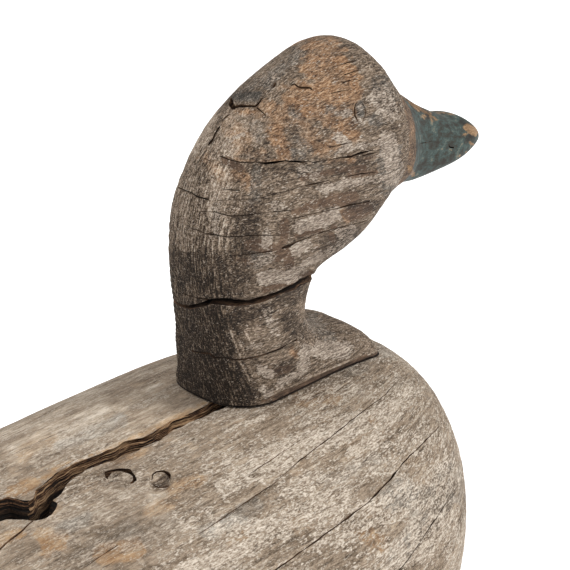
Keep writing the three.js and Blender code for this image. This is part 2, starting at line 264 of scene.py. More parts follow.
def evenly(curve, count, density, fineness=4001):
    """Parameters from 0 to 1 that divide a curve into steps, whose length is set by a density."""
    fine = np.linspace(0, 1, fineness)
    points = curve(fine)
    steps = np.linalg.norm(np.diff(points, axis=0), axis=1) * density((points[1:] + points[:-1]) / 2)
    length = np.append(0, np.cumsum(steps))
    return np.interp(np.linspace(0, length[-1], count), length, fine)


def closed_mesh(rings, first, last):
    """Triangles over rings of points, closed by a pole at each end."""
    count, sides = rings.shape[:2]
    points = np.vstack([rings.reshape(-1, 3), first, last])
    ring, side = np.meshgrid(np.arange(count - 1), np.arange(sides), indexing="ij")
    a = (ring * sides + side).ravel()
    b = (ring * sides + (side + 1) % sides).ravel()
    c, d = a + sides, b + sides
    flip = (side.ravel() + ring.ravel()) % 2 == 0
    lower = np.where(flip[:, None], np.stack([a, c, d], 1), np.stack([a, c, b], 1))
    upper = np.where(flip[:, None], np.stack([a, d, b], 1), np.stack([b, c, d], 1))
    around = np.arange(sides)
    start = np.stack([around, (around + 1) % sides, np.full(sides, count * sides)], 1)
    tail = (count - 1) * sides
    end = np.stack([tail + (around + 1) % sides, tail + around, np.full(sides, count * sides + 1)], 1)
    return points, outward(points, np.vstack([lower, upper, start, end]))


def outward(points, faces):
    a, b, c = (points[faces[:, k]] for k in range(3))
    volume = np.einsum("ij,ij->i", a, np.cross(b, c)).sum()
    return faces if volume > 0 else faces[:, ::-1]


def normals_of(points, faces):
    a, b, c = (points[faces[:, k]] for k in range(3))
    across = np.cross(b - a, c - a)
    total = np.zeros_like(points)
    for k in range(3):
        np.add.at(total, faces[:, k], across)
    return total / np.maximum(np.linalg.norm(total, axis=1, keepdims=True), 1e-12)


def body_blank():
    def station(share):
        return between(STERN_X, BOW_X, (1 - np.cos(math.pi * share)) / 2)

    def outline(share):
        x = station(share)
        return np.stack([x, body_half_width(x), 0 * x], -1)

    share = evenly(outline, BODY_RINGS, lambda at: np.where(at[:, 0] > PLAIN_X, 1, PLAIN_DENSITY))[1:-1]
    turn = spread(BODY_TURN)[:-1]
    rings = body_surface(station(share)[:, None], 2 * math.pi * turn[None, :])
    return closed_mesh(rings, (STERN_X, 0, TAIL_Z), (BOW_X, 0, BREAST_Z))


def head_blank():
    def profile(share):
        columns = template_curve(share)
        return (columns[:, 0:2] + columns[:, 2:4]) / 2 + (columns[:, 0:2] - columns[:, 2:4]) / 4

    def density(at):
        return np.where(at[:, 1] < FOOT_Z, FOOT_DENSITY, np.where(at[:, 0] < BILL_X, 1, BILL_DENSITY))

    along = evenly(profile, HEAD_RINGS, density)
    turn = spread(HEAD_TURN)[:-1]
    rings = head_surface(along[:, None], 2 * math.pi * turn[None, :])
    up = rings[..., 2] - SEAT_Z - JOINT_GAP
    rings[..., 2] -= (SEAT_Z - body_top(rings[..., 0], rings[..., 1])) * (1 - smooth(0, SAG_FADE, up))
    return closed_mesh(rings, rings[0].mean(0), rings[-1].mean(0))


# Photo's line of sight

def shown(points):
    """Where the photo shows each point, in its pixels."""
    off = points - np.array(EYE)
    scale = LENS_PIXELS / (off @ np.array(AHEAD))
    half = PHOTO_SIDE / 2
    return np.stack([half + scale * (off @ np.array(RIGHT)), half - scale * (off @ np.array(UPWARD))], 1)


def facing(points, normals, start=-0.02, end=0.12):
    """1 where the surface is turned to the photo, 0 where it is turned away."""
    off = points - np.array(EYE)
    off /= np.linalg.norm(off, axis=1, keepdims=True)
    return smooth(start, end, -(off * normals).sum(1))


def line_distance(at, places):
    """How far points are from a line through places, in the plane or in space."""
    places = np.array(places, float)
    best = np.linalg.norm(at - places[0], axis=1)
    for a, b in zip(places, places[1:]):
        along = b - a
        t = np.clip((at - a) @ along / max(along @ along, 1e-9), 0, 1)
        best = np.minimum(best, np.linalg.norm(at - a - t[:, None] * along, axis=1))
    return best


class Surface:
    def __init__(self, points, faces):
        self.tree = BVHTree.FromPolygons(points.tolist(), faces.tolist())

    def seen(self, px, py):
        """The point of the surface that the photo shows at a pixel."""
        half = PHOTO_SIDE / 2
        way = AHEAD * LENS_PIXELS + RIGHT * (px - half) - UPWARD * (py - half)
        at = self.tree.ray_cast(EYE, way.normalized())[0]
        if at is None:
            raise ValueError(f"no wood at pixel {px}, {py}")
        return at

    def below(self, x, y):
        return self.tree.ray_cast(Vector((x, y, 2 * SEAT_Z)), Vector((0, 0, -1)))[0]

    def nearest(self, point):
        at, out, _, _ = self.tree.find_nearest(Vector(point))
        return at, out

    def distance(self, points):
        return np.array([self.tree.find_nearest(Vector(p))[3] for p in points])


class Marks:
    """A mesh's points where the photo shows them, for patches that are named by its pixels."""

    def __init__(self, points, normals):
        self.points = points
        self.pixels = shown(points)
        self.facing = facing(points, normals)

    def cover(self, strokes, seed, cell=(3, 1.2, 1.2), rough=0.7, edge=0.9):
        """Coverage by brush strokes that hold strength, half width and the x and y of places, in pixels."""
        total = np.zeros(len(self.points))
        wander = noise(self.points, cell, seed, 3)
        for strength, reach, *places in strokes:
            places = np.reshape(places, (-1, 2))
            away = line_distance(self.pixels, places) - reach * (1 + rough * wander)
            total = np.maximum(total, strength * (1 - smooth(-edge, edge, away)))
        return total * self.facing


# Relief

# Heights and depths, and strokes of strength, half width and the x and y of places in the photo's pixels
RELIEF_MIDDLE = 0.32   # depth of the surface's middle below its highest fibres
END_GRAIN = (0.05, 0.2)  # depth of the soft wood between rings along the grain, and more across it
BILL_ROOT_X = (152, 160)  # where the cheek turns into the bill
BILL_SMOOTH = 0.75     # share of the relief that is gone from the bill
BEVEL_DEPTH = 0.7      # of the worn edge above the split round the neck
FLAKE_DEPTH = 1.0      # of the flake that is lost below the lump on the nape
LUMP_HEIGHT = 0.35
EYE_HEIGHT = 0.3
DENT_DEPTH = 0.25
UNDERCUT = 0.9         # of the foot's lowest half millimetre
BOWL_DEPTH = 1.5       # of the hollow round a dead knot
PLUG_HEIGHT = 1.3      # of the knot above its hollow
LIP_WEAR = 0.6         # of the far lip of the check along the back
LIP_REACH = 6          # pixels
FEATHER = 2            # height over which the relief sets in above the lowest edge
BEVEL = [(1, 2.6, 264, 290.5, 275, 287.5, 288, 282.5, 300, 277, 310, 272.5)]
FLAKE = [(1, 4.6, 236, 112.5, 246, 111.5, 254, 112.5)]
FLAKE_RUNOUT = [(0.55, 8, 236, 116, 254, 116), (0.25, 12, 236, 121, 256, 121)]
LUMP = [(1, 6, 238, 97, 248, 96, 256, 98)]
EYE_DISC = [(1, 3.6, 361, 113)]
CHEEK_DENTS = [(1, 5.5, 337, 117), (0.8, 5, 376, 121), (0.6, 9, 300, 140)]


def ring_phase(points):
    """How many growth rings lie inside each point: close together on the nape, wide on the right cheek."""
    y, z = points[:, 1], points[:, 2]
    radius = np.hypot(y - PITH_Y, z - PITH_Z) + 0.5 * np.sin(z / 9 + 1.3) + 0.25 * np.sin(z / 4.1 + y / 7)
    return WIDE_RINGS * radius + RING_FADE * np.log1p(np.exp((radius - RING_TURN) / RING_FADE))


def latewood(points):
    share = ring_phase(points) % 1
    return smooth(*LATEWOOD[:2], share) * (1 - smooth(*LATEWOOD[2:], share))


def above_back(points):
    return points[:, 2] - body_top(points[:, 0], points[:, 1]) - JOINT_GAP


def half_noise(points, size, seed):
    """A random field from 0 to 1."""
    return 0.5 + 0.5 * noise(points, size, seed, 3)


def head_relief(points, normals):
    marks = Marks(points, normals)
    end = smooth(0.45, 0.85, np.abs(normals[:, 0]))
    bill = smooth(*BILL_ROOT_X, points[:, 0])
    rings = (1 - latewood(points)) * (END_GRAIN[0] + END_GRAIN[1] * end)
    grain = half_noise(points, (16, 1.5, 1.5), 11)
    swell = half_noise(points, (9, 6, 6), 12)
    pits = smooth(0.35, 0.6, noise(points, (3.5, 1.6, 1.6), 13, 2))
    depth = rings + 0.3 * grain + 0.35 * swell + 0.2 * pits - RELIEF_MIDDLE
    depth = depth * (1 - BILL_SMOOTH * bill)
    depth += BEVEL_DEPTH * marks.cover(BEVEL, 14, rough=0.3)
    flake = marks.cover(FLAKE, 15, rough=0.2, edge=1.2)
    flake = np.maximum(flake, marks.cover(FLAKE_RUNOUT, 16, rough=0.2, edge=4))
    depth += FLAKE_DEPTH * flake - LUMP_HEIGHT * marks.cover(LUMP, 17, rough=0.3, edge=2)
    eye = EYE_HEIGHT * marks.cover(EYE_DISC, 19, rough=0.1)
    depth += DENT_DEPTH * marks.cover(CHEEK_DENTS, 18, rough=0.4, edge=2) - eye
    wall = 1 - smooth(0.75, 0.95, np.abs(normals[:, 2]))
    up = above_back(points)
    return depth * smooth(0, FEATHER, up) + UNDERCUT * wall * (1 - smooth(0.25, 0.65, up))


KNOT_BOWLS = [(1, 10, 115, 478, 123, 478), (1, 9.5, 160, 479, 161, 486)]
KNOT_PLUGS = [(1, 5.5, 113, 483, 122, 483), (0.5, 3, 158, 491, 164, 490)]


def body_relief(points, normals):
    marks = Marks(points, normals)
    grain = half_noise(points, (30, 2.2, 2.2), 21)
    swell = half_noise(points, (24, 11, 11), 22)
    pits = smooth(0.4, 0.7, noise(points, (9, 2, 2), 23, 2))
    depth = 0.4 * grain + 0.5 * swell + 0.2 * pits - RELIEF_MIDDLE
    depth += BOWL_DEPTH * marks.cover(KNOT_BOWLS, 24, rough=0.15, edge=2.5)
    depth -= PLUG_HEIGHT * marks.cover(KNOT_PLUGS, 25, rough=0.2, edge=3.5)
    depth += LIP_WEAR * (1 - smooth(0, LIP_REACH, line_distance(marks.pixels, CHECK_FAR_LIP))) * marks.facing
    return depth * smooth(0, FEATHER, points[:, 2])


# Pieces and cuts

PROUD = 1.2    # how far a cutter stands out of the wood
NARROWEST = 0.02  # share of its gap that a crack keeps at its floor


def placed(name, data):
    made = bpy.data.objects.new(name, data)
    bpy.context.scene.collection.objects.link(made)
    return made


def piece(name, points, faces, materials):
    mesh = bpy.data.meshes.new(name)
    mesh.from_pydata(points.tolist(), [], faces.tolist())
    for material in materials:
        mesh.materials.append(material)
    return placed(name, mesh)


def cutter(name, rings, material):
    return piece(name, *closed_mesh(rings, rings[0].mean(0), rings[-1].mean(0)), [material])


def wave(along, length, seed):
    """A random line from -1 to 1 that turns within the given length."""
    return noise(np.stack([along / length, 0 * along, 0 * along], 1), (1, 1, 1), seed, 2)


def arc_length(points):
    return np.append(0, np.cumsum(np.linalg.norm(np.diff(points, axis=0), axis=1)))


def split(name, surface, rows, material, seed, ragged=0.4, step=0.5, levels=4, grain=(6, 1.2), into=None,
          broken=0.8):
    """A crack along a path on the surface. Rows hold place, gap and depth."""
    places = np.array([tuple(row[0]) for row in rows])
    sizes = np.array([row[1:] for row in rows], float)
    length = arc_length(places)
    count = max(4, int(length[-1] / step))
    along = np.linspace(0, length[-1], count)
    points = np.stack([np.interp(along, length, places[:, k]) for k in range(3)], 1)
    gap, depth = (np.interp(along, length, sizes[:, k]) for k in range(2))
    gap = gap * np.clip(1 + 1.5 * broken * wave(along, 4, seed + 9), 0.15, 1.7)
    found = [surface.nearest(p) for p in points]
    points = np.array([tuple(at) for at, _ in found])
    out = np.array([tuple(way) for _, way in found])
    for _ in range(3):
        out[1:-1] = (out[:-2] + 2 * out[1:-1] + out[2:]) / 4
    if into is not None:
        out = -np.array([into] * count, float)
    out /= np.linalg.norm(out, axis=1, keepdims=True)
    across = np.cross(np.gradient(points, axis=0), out)
    across /= np.linalg.norm(across, axis=1, keepdims=True)
    taper = np.minimum(1, gap)
    wander = ragged * 0.6 * wave(along, 3, seed + 5) * taper
    down = range(levels + 1)
    sides = []
    for side, level in [(0, k) for k in down] + [(1, k) for k in reversed(down[:-1])]:
        deep = -PROUD + (depth + PROUD) * level / levels
        open_ = np.clip(1 - np.clip(deep / np.maximum(depth, 0.1), 0, 1) ** 2, NARROWEST, 1)
        at = np.stack([along / grain[0], deep / grain[1], np.full(count, 7.0 * side)], 1)
        rough = ragged * noise(at, (1, 1, 1), seed + 31 * side, 2)
        shift = (2 * side - 1) * gap / 2 * open_ + rough * open_ * taper + wander
        if level == levels:
            shift = wander
        sides.append(points - out * deep[:, None] + across * shift[:, None])
    return cutter(name, np.stack(sides, 1), material)


def cut(wood, cutters):
    for tool in cutters:
        change = wood.modifiers.new(tool.name, "BOOLEAN")
        change.operation = "DIFFERENCE"
        change.solver = "MANIFOLD"
        change.material_mode = "TRANSFER"
        change.object = tool
    bpy.context.view_layer.update()
    made = bpy.data.meshes.new_from_object(wood.evaluated_get(bpy.context.evaluated_depsgraph_get()))
    wood.modifiers.clear()
    wood.data = made
    for tool in cutters:
        bpy.data.objects.remove(tool)


# Materials

def rgb(r, g, b):
    """A colour from its 0 to 255 screen values."""
    def linear(v):
        v /= 255
        return v / 12.92 if v <= 0.04045 else ((v + 0.055) / 1.055) ** 2.4
    return (linear(r), linear(g), linear(b), 1)


class Nodes:
    def __init__(self, name):
        self.material = bpy.data.materials.new(name)
        self.material.use_nodes = True
        self.tree = self.material.node_tree
        self.shader = self.tree.nodes["Principled BSDF"]
        place = self.new("ShaderNodeTexCoord").outputs["Object"]
        self.mm = self.vector("MULTIPLY", place, (1 / MM,) * 3)
        self.x, self.y, self.z = self.new("ShaderNodeSeparateXYZ", Vector=self.mm).outputs

    def new(self, kind, **inputs):
        node = self.tree.nodes.new(kind)
        for name, value in inputs.items():
            self.set(node.inputs[name], value)
        return node

    def set(self, socket, value):
        if isinstance(value, bpy.types.NodeSocket):
            self.tree.links.new(value, socket)
        else:
            socket.default_value = value

    def compute(self, kind, operation, *values):
        node = self.tree.nodes.new(kind)
        node.operation = operation
        for socket, value in zip(node.inputs, values):
            self.set(socket, value)
        return node.outputs[0]

    def vector(self, operation, *values):
        return self.compute("ShaderNodeVectorMath", operation, *values)

    def math(self, operation, *values):
        return self.compute("ShaderNodeMath", operation, *values)

    def times(self, a, b):
        return self.math("MULTIPLY", a, b)

    def rest(self, a):
        return self.math("SUBTRACT", 1, a)

    def noise(self, cell, detail=3.0, roughness=0.55, distortion=0.0, offset=0.0):
        """Noise with cells of the given size in mm along X, Y and Z."""
        at = self.vector("MULTIPLY", self.mm, tuple(1 / c for c in cell))
        if offset:
            at = self.vector("ADD", at, (offset, 1.7 * offset, 0.6 * offset))
        look = dict(Scale=1.0, Detail=detail, Roughness=roughness, Distortion=distortion)
        return self.new("ShaderNodeTexNoise", Vector=at, **look).outputs["Fac"]

    def step(self, low, high, value):
        node = self.tree.nodes.new("ShaderNodeMapRange")
        node.interpolation_type = "SMOOTHSTEP"
        for name, v in (("Value", value), ("From Min", low), ("From Max", high)):
            self.set(node.inputs[name], v)
        return node.outputs["Result"]

    def ramp(self, value, positions, *colours):
        node = self.new("ShaderNodeValToRGB", Fac=value)
        elements = node.color_ramp.elements
        while len(elements) < len(colours):
            elements.new(0.5)
        for element, position, colour in zip(elements, positions, colours):
            element.position = position
            element.color = rgb(*colour)
        return node.outputs["Color"]

    def mix(self, share, a, b):
        node = self.tree.nodes.new("ShaderNodeMix")
        node.data_type = "RGBA"
        self.set(node.inputs["Factor"], share)
        first, second = (socket for socket in node.inputs if socket.type == "RGBA")
        self.set(first, a)
        self.set(second, b)
        return next(out for out in node.outputs if out.type == "RGBA")

    def blend(self, base, *terms, middle=0.5):
        """A base plus each weighted value's departure from the middle."""
        total = base - sum(weight * middle for weight, _ in terms)
        for weight, value in terms:
            total = self.math("MULTIPLY_ADD", value, weight, total)
        return total

    def attribute(self, name, output="Fac"):
        node = self.new("ShaderNodeAttribute")
        node.attribute_name = name
        return node.outputs[output]

    def attributes(self, names):
        return [self.attribute(name) for name in names.split()]

    def bump(self, height, distance, strength):
        node = self.new("ShaderNodeBump", Height=height, Distance=distance * MM, Strength=strength)
        return node.outputs["Normal"]

    def finish(self, colour, roughness, normal):
        self.set(self.shader.inputs["Base Color"], colour)
        self.set(self.shader.inputs["Roughness"], roughness)
        self.set(self.shader.inputs["Normal"], normal)
        self.shader.inputs["Specular IOR Level"].default_value = 0.3
        return self.material


def flaked(n, coverage, texture, gain, edge):
    """Where a coat remains: its coverage broken up by a texture. 0 is never, 0.5 is half, 1 is always."""
    value = n.math("MULTIPLY_ADD", coverage, 2, -1 - gain / 2)
    return n.step(-edge, edge, n.math("MULTIPLY_ADD", texture, gain, value))


def ring_lines(n):
    """The growth rings of ring_phase, as lines."""
    dy = n.math("ADD", n.y, -PITH_Y)
    dz = n.math("ADD", n.z, -PITH_Z)
    radius = n.math("SQRT", n.math("ADD", n.times(dy, dy), n.times(dz, dz)))
    slow = n.math("SINE", n.math("MULTIPLY_ADD", n.z, 1 / 9, 1.3))
    quick = n.math("SINE", n.math("ADD", n.math("DIVIDE", n.z, 4.1), n.math("DIVIDE", n.y, 7)))
    radius = n.math("MULTIPLY_ADD", slow, 0.5, n.math("MULTIPLY_ADD", quick, 0.25, radius))
    rise = n.math("EXPONENT", n.math("MULTIPLY_ADD", radius, 1 / RING_FADE, -RING_TURN / RING_FADE))
    closing = n.math("LOGARITHM", n.math("ADD", 1, rise), math.e)
    phase = n.math("FRACT", n.math("MULTIPLY_ADD", radius, WIDE_RINGS, n.times(closing, RING_FADE)))
    return n.times(n.step(*LATEWOOD[:2], phase), n.rest(n.step(*LATEWOOD[2:], phase)))


FOUR_STOPS = (0.1, 0.35, 0.6, 0.9)
STAIN_AND_SHADE = (30, 23, 18)
SPLINTER = (48, 36, 27)


def head_wood():
    n = Nodes("head_wood")
    streak = n.noise((4.4, 0.55, 0.55), 4, 0.72, 0.2)
    grit = n.noise((1.2, 0.34, 0.34), 2, 0.65, offset=9)
    long = n.noise((13, 0.9, 0.9), 3, 0.6, offset=3)
    broad = n.noise((8, 5, 5), 3, 0.6, offset=5)
    flake = n.noise((2.6, 1.0, 1.0), 5, 0.78, 0.5, offset=7)
    shards = n.noise((4.2, 0.4, 0.4), 3, 0.7, offset=17)
    mottle = n.noise((3, 2.2, 2.2), 4, 0.68, offset=31)
    ochre, pale, bare, grey, end = n.attributes("ochre pale bare grey end")
    tone, teal, worn, dust = n.attributes("tone teal worn dust")

    broken = n.step(0.4, 0.6, n.noise((2, 1.4, 3), 3, 0.7, offset=13))
    lines = n.times(n.times(ring_lines(n), end), broken)
    upright = n.times(end, n.math("SUBTRACT", n.noise((1.4, 0.42, 7), 3, 0.68, offset=23), 0.5))
    value = n.blend(0.42, (1.4, streak), (1.2, grit), (0.65, long), (0.45, broad), (0.9, tone))
    value = n.math("MULTIPLY_ADD", upright, 1.9, n.math("MULTIPLY_ADD", lines, 0.4, value))
    colour = n.ramp(
        value, (0.0, 0.22, 0.42, 0.58, 0.74, 0.95),
        (36, 29, 23), (68, 56, 46), (106, 91, 76), (138, 121, 104), (168, 151, 134), (204, 190, 174),
    )
    warm = n.ramp(
        value, (0.0, 0.22, 0.42, 0.58, 0.76, 0.95),
        (52, 36, 26), (96, 68, 48), (140, 106, 77), (164, 130, 98), (188, 157, 126), (212, 190, 164),
    )
    colour = n.mix(n.times(flaked(n, ochre, broad, 2.6, 0.7), 0.92), colour, warm)
    cool = n.ramp(
        value, (0.0, 0.25, 0.45, 0.62, 0.8, 0.95),
        (42, 40, 37), (74, 71, 66), (106, 101, 95), (140, 134, 126), (182, 175, 166), (216, 210, 201),
    )
    colour = n.mix(n.times(flaked(n, grey, flake, 2.6, 0.5), 0.85), colour, cool)
    calm = n.blend(0.47, (1.2, streak), (0.7, grit), (0.8, broad), (0.6, tone))
    brown = n.ramp(calm, (0.1, 0.4, 0.6, 0.9), (50, 39, 31), (86, 68, 55), (110, 89, 72), (152, 130, 110))
    colour = n.mix(flaked(n, bare, flake, 0.8, 0.12), colour, brown)
    bright = n.blend(0.5, (1.9, grit), (1.7, streak), (0.6, broad), (0.5, tone))
    paint = n.ramp(bright, FOUR_STOPS, (92, 80, 69), (132, 118, 105), (160, 146, 132), (196, 184, 170))
    coat = flaked(n, pale, n.blend(0.5, (0.7, flake), (0.45, grit)), 3.8, 0.07)
    colour = n.mix(n.times(coat, 0.92), colour, paint)
    dashes = n.times(n.step(0.6, 0.66, shards), n.rest(teal))
    colour = n.mix(n.times(dashes, 0.7), colour, rgb(*SPLINTER))

    sea = n.blend(0.46, (1.7, mottle), (0.6, grit), (0.9, broad), (0.6, tone))
    blue = n.ramp(
        sea, (0.12, 0.34, 0.5, 0.66, 0.8),
        (40, 35, 29), (50, 52, 46), (54, 68, 65), (70, 83, 79), (112, 106, 90),
    )
    tealed = flaked(n, teal, flake, 2.0, 0.2)
    colour = n.mix(tealed, colour, blue)
    tip = n.ramp(calm, FOUR_STOPS, (74, 56, 41), (116, 90, 64), (152, 122, 90), (190, 166, 134))
    colour = n.mix(flaked(n, worn, mottle, 3.4, 0.3), colour, tip)
    # Stains, with painted shade along the foot's lowest edge and round the cracks
    colour = n.mix(n.times(dust, 0.85), colour, rgb(*STAIN_AND_SHADE))

    height = n.blend(0, (0.8, streak), (0.5, grit), (0.5, long), (0.5, lines), (-0.5, dashes), middle=0)
    height = n.times(height, n.rest(n.times(tealed, 0.85)))
    height = n.math("MULTIPLY_ADD", coat, 0.2, height)
    rough = n.math("MULTIPLY_ADD", tealed, -0.24, 0.9)
    return n.finish(colour, rough, n.bump(height, 0.45, 0.9))


BODY_STOPS = (0.05, 0.28, 0.46, 0.6, 0.76, 0.95)
BODY_STAIN_AND_SHADE = (46, 34, 25)
BODY_SPLINTER = (84, 68, 54)
FLECK = (208, 198, 184)


def body_wood():
    n = Nodes("body_wood")
    n.mm = n.attribute("flow", "Vector")
    streak = n.noise((4.4, 0.95, 0.95), 5, 0.75, 0.4)
    grit = n.noise((1.1, 0.45, 0.45), 2, 0.65, offset=9)
    long = n.noise((30, 1.2, 1.2), 3, 0.6, offset=3)
    broad = n.noise((34, 9, 9), 3, 0.55, offset=5)
    middle = n.noise((6.5, 4, 4), 4, 0.62, 0.3, offset=11)
    flake = n.noise((3, 1.4, 1.4), 5, 0.8, 0.6, offset=7)
    shards = n.noise((4.8, 0.5, 0.5), 3, 0.7, offset=17)
    flecks = n.step(0.6, 0.65, n.noise((3.6, 0.8, 1.2), 4, 0.75, 1.4, offset=37))
    white, ochre, grey, tone, soft, dust = n.attributes("white ochre grey tone soft dust")

    value = n.blend(
        0.355, (1.15, streak), (0.75, grit), (0.7, long), (0.45, broad), (0.6, middle), (0.9, tone),
    )
    value = n.math("MULTIPLY_ADD", white, 0.3, value)
    plain = n.blend(0.5, (0.35, streak), (0.5, long), (0.7, broad), (0.9, middle), (0.9, tone))
    calm = n.times(soft, 0.6)
    value = n.math("MULTIPLY_ADD", n.math("SUBTRACT", plain, value), calm, value)
    colour = n.ramp(
        value, BODY_STOPS,
        (64, 52, 42), (110, 95, 79), (141, 124, 106), (162, 145, 126), (188, 172, 153), (220, 207, 190),
    )
    warm = n.ramp(
        value, BODY_STOPS,
        (82, 57, 39), (128, 97, 69), (158, 127, 94), (177, 148, 115), (198, 172, 142), (222, 203, 179),
    )
    colour = n.mix(n.times(flaked(n, ochre, middle, 2.2, 0.6), 0.9), colour, warm)
    cool = n.ramp(
        value, BODY_STOPS,
        (60, 56, 51), (98, 92, 84), (130, 123, 114), (154, 147, 137), (186, 179, 169), (220, 214, 205),
    )
    colour = n.mix(n.times(flaked(n, grey, middle, 2.2, 0.6), 0.85), colour, cool)
    bright = n.blend(0.52, (2.1, grit), (1.8, streak), (0.6, tone))
    paint = n.ramp(bright, FOUR_STOPS, (126, 111, 96), (166, 151, 135), (192, 179, 163), (222, 211, 197))
    coat = flaked(n, white, n.blend(0.5, (0.9, flake), (0.3, grit)), 4.2, 0.08)
    colour = n.mix(n.times(coat, n.math("MULTIPLY_ADD", calm, -0.8, 0.85)), colour, paint)
    dashes = n.step(0.62, 0.69, shards)
    colour = n.mix(n.times(dashes, 0.55), colour, rgb(*BODY_SPLINTER))
    colour = n.mix(n.times(flecks, 0.55), colour, rgb(*FLECK))
    # Darker along the check's lips, with painted shade on the back round the head's foot
    colour = n.mix(n.times(dust, 0.85), colour, rgb(*BODY_STAIN_AND_SHADE))
    height = n.blend(0, (0.7, streak), (0.4, grit), (0.9, long), (-0.5, dashes), (0.2, coat), middle=0)
    return n.finish(colour, 0.92, n.bump(height, 0.5, 0.9))


SPLIT_STOPS = (0.2, 0.42, 0.58, 0.85)
HEAD_SPLIT = ((30, 20, 13), (58, 41, 29), (88, 65, 47), (128, 99, 74))
BODY_SPLIT = ((36, 23, 15), (70, 48, 33), (104, 76, 54), (148, 114, 84))
CHECK_WOOD = ((32, 20, 13), (84, 57, 39), (142, 108, 78), (198, 162, 124))
KNOTHOLE_WOOD = ((18, 12, 8), (40, 26, 17), (80, 54, 37), (146, 108, 78))
SPLIT_SHADOW = (20, 13, 9)


def split_wood(name, colours, reach, layer=0.7, contrast=1.9):
    """Torn wood inside a crack, in layers that follow its lips, with painted shadow that deepens with depth.
    """
    n = Nodes(name)
    depth = n.attribute("depth")
    bend = n.noise((9, 9, 9), 2, 0.5, offset=2)
    level = n.math("MULTIPLY_ADD", depth, 1 / layer, n.times(bend, 2.5))
    place = n.new("ShaderNodeCombineXYZ", X=n.times(n.x, 1 / 12), Y=level, Z=n.times(n.y, 1 / 12)).outputs[0]
    fibre = n.new("ShaderNodeTexNoise", Vector=place, Scale=1.0, Detail=3.0, Roughness=0.6).outputs["Fac"]
    grit = n.noise((2.5, 0.5, 0.4), 2, 0.6, offset=5)
    value = n.blend(0.5, (contrast, fibre), (0.8, grit))
    colour = n.ramp(value, SPLIT_STOPS, *colours)
    gloom = n.step(0.1, reach, depth)
    colour = n.mix(n.times(gloom, 0.93), colour, rgb(*SPLIT_SHADOW))
    return n.finish(colour, 0.93, n.bump(value, 0.7, 1.0))


# Marks on the wood

SKIN = 0.02    # depths up to this one count as the skin
SHARP_ANGLE = math.radians(42)


def seen_path(surface, rows):
    """Crack rows from pixel x, pixel y, gap and depth."""
    return [(surface.seen(px, py), gap, depth) for px, py, gap, depth in rows]


def plan_path(surface, rows):
    """Crack rows from x, y, gap and depth, on the side that is seen from above."""
    return [(surface.below(x, y), gap, depth) for x, y, gap, depth in rows]


def across_middle(rows):
    """The same crack on the duck's left side."""
    return [((at[0], -at[1], at[2]), gap, depth) for at, gap, depth in rows]


def places_of(rows):
    return [tuple(row[0]) for row in rows]


def vectors(items, name):
    values = np.empty(3 * len(items), np.float32)
    items.foreach_get(name, values)
    return values.reshape(-1, 3).astype(float)


def points_of(obj):
    return vectors(obj.data.vertices, "co"), vectors(obj.data.vertex_normals, "vector")


def paint_on(obj, masks):
    for name, values in masks.items():
        layer = obj.data.attributes.new(name, "FLOAT", "POINT")
        layer.data.foreach_set("value", np.asarray(values, np.float32))


def clipped(masks):
    return {name: np.clip(values, 0, 1) for name, values in masks.items()}


def below_surface(surface, points):
    """Depth inside a crack. Points of the skin itself have none."""
    return np.maximum(surface.distance(points) - SKIN, 0)


def settle(obj, node):
    obj.data.shade_smooth()
    obj.data.set_sharp_from_angle(angle=SHARP_ANGLE)
    obj.data.transform(Matrix.Scale(MM, 4))
    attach(obj, "root")
    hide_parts(node)


def inside_box(points):
    low, high = (np.array(tuple(corner)) / MM for corner in packed_bounds)
    return np.clip(points, low, high)


# Head: cracks as pixel x, pixel y, gap and depth

NECK_LEFT = [
    (90, 16.8, 127.5, 0.5, 3), (80.5, 13.6, 128.3, 0.8, 4), (76, 9.5, 129.2, 1, 5), (74, 5.9, 130.4, 1, 6),
]
NECK_SEEN = [
    (181, 305, 1.2, 6), (190, 307, 1.3, 7), (200, 305.3, 1.5, 8), (208, 302.2, 1.7, 9),
    (212, 301.6, 1.9, 9), (220, 301.8, 2.2, 9), (230, 302, 2.3, 9), (237, 303.2, 2.4, 9),
    (250, 302.2, 2.2, 9), (260, 299.9, 2.3, 9), (270, 296.2, 2.1, 9), (280, 292.4, 1.8, 9),
    (290, 288.2, 2.1, 9), (300, 283, 2.5, 9), (307, 279.8, 2.8, 9),
]
NECK_FRONT = [
    (112.5, -14.9, 132.3, 2.6, 8), (117.5, -9, 131.5, 2.2, 7), (119.3, -2, 131, 1.6, 6),
    (118.5, 5, 130.3, 1.3, 6), (113, 13, 129.3, 1, 5), (104, 17, 128.5, 0.5, 3),
]
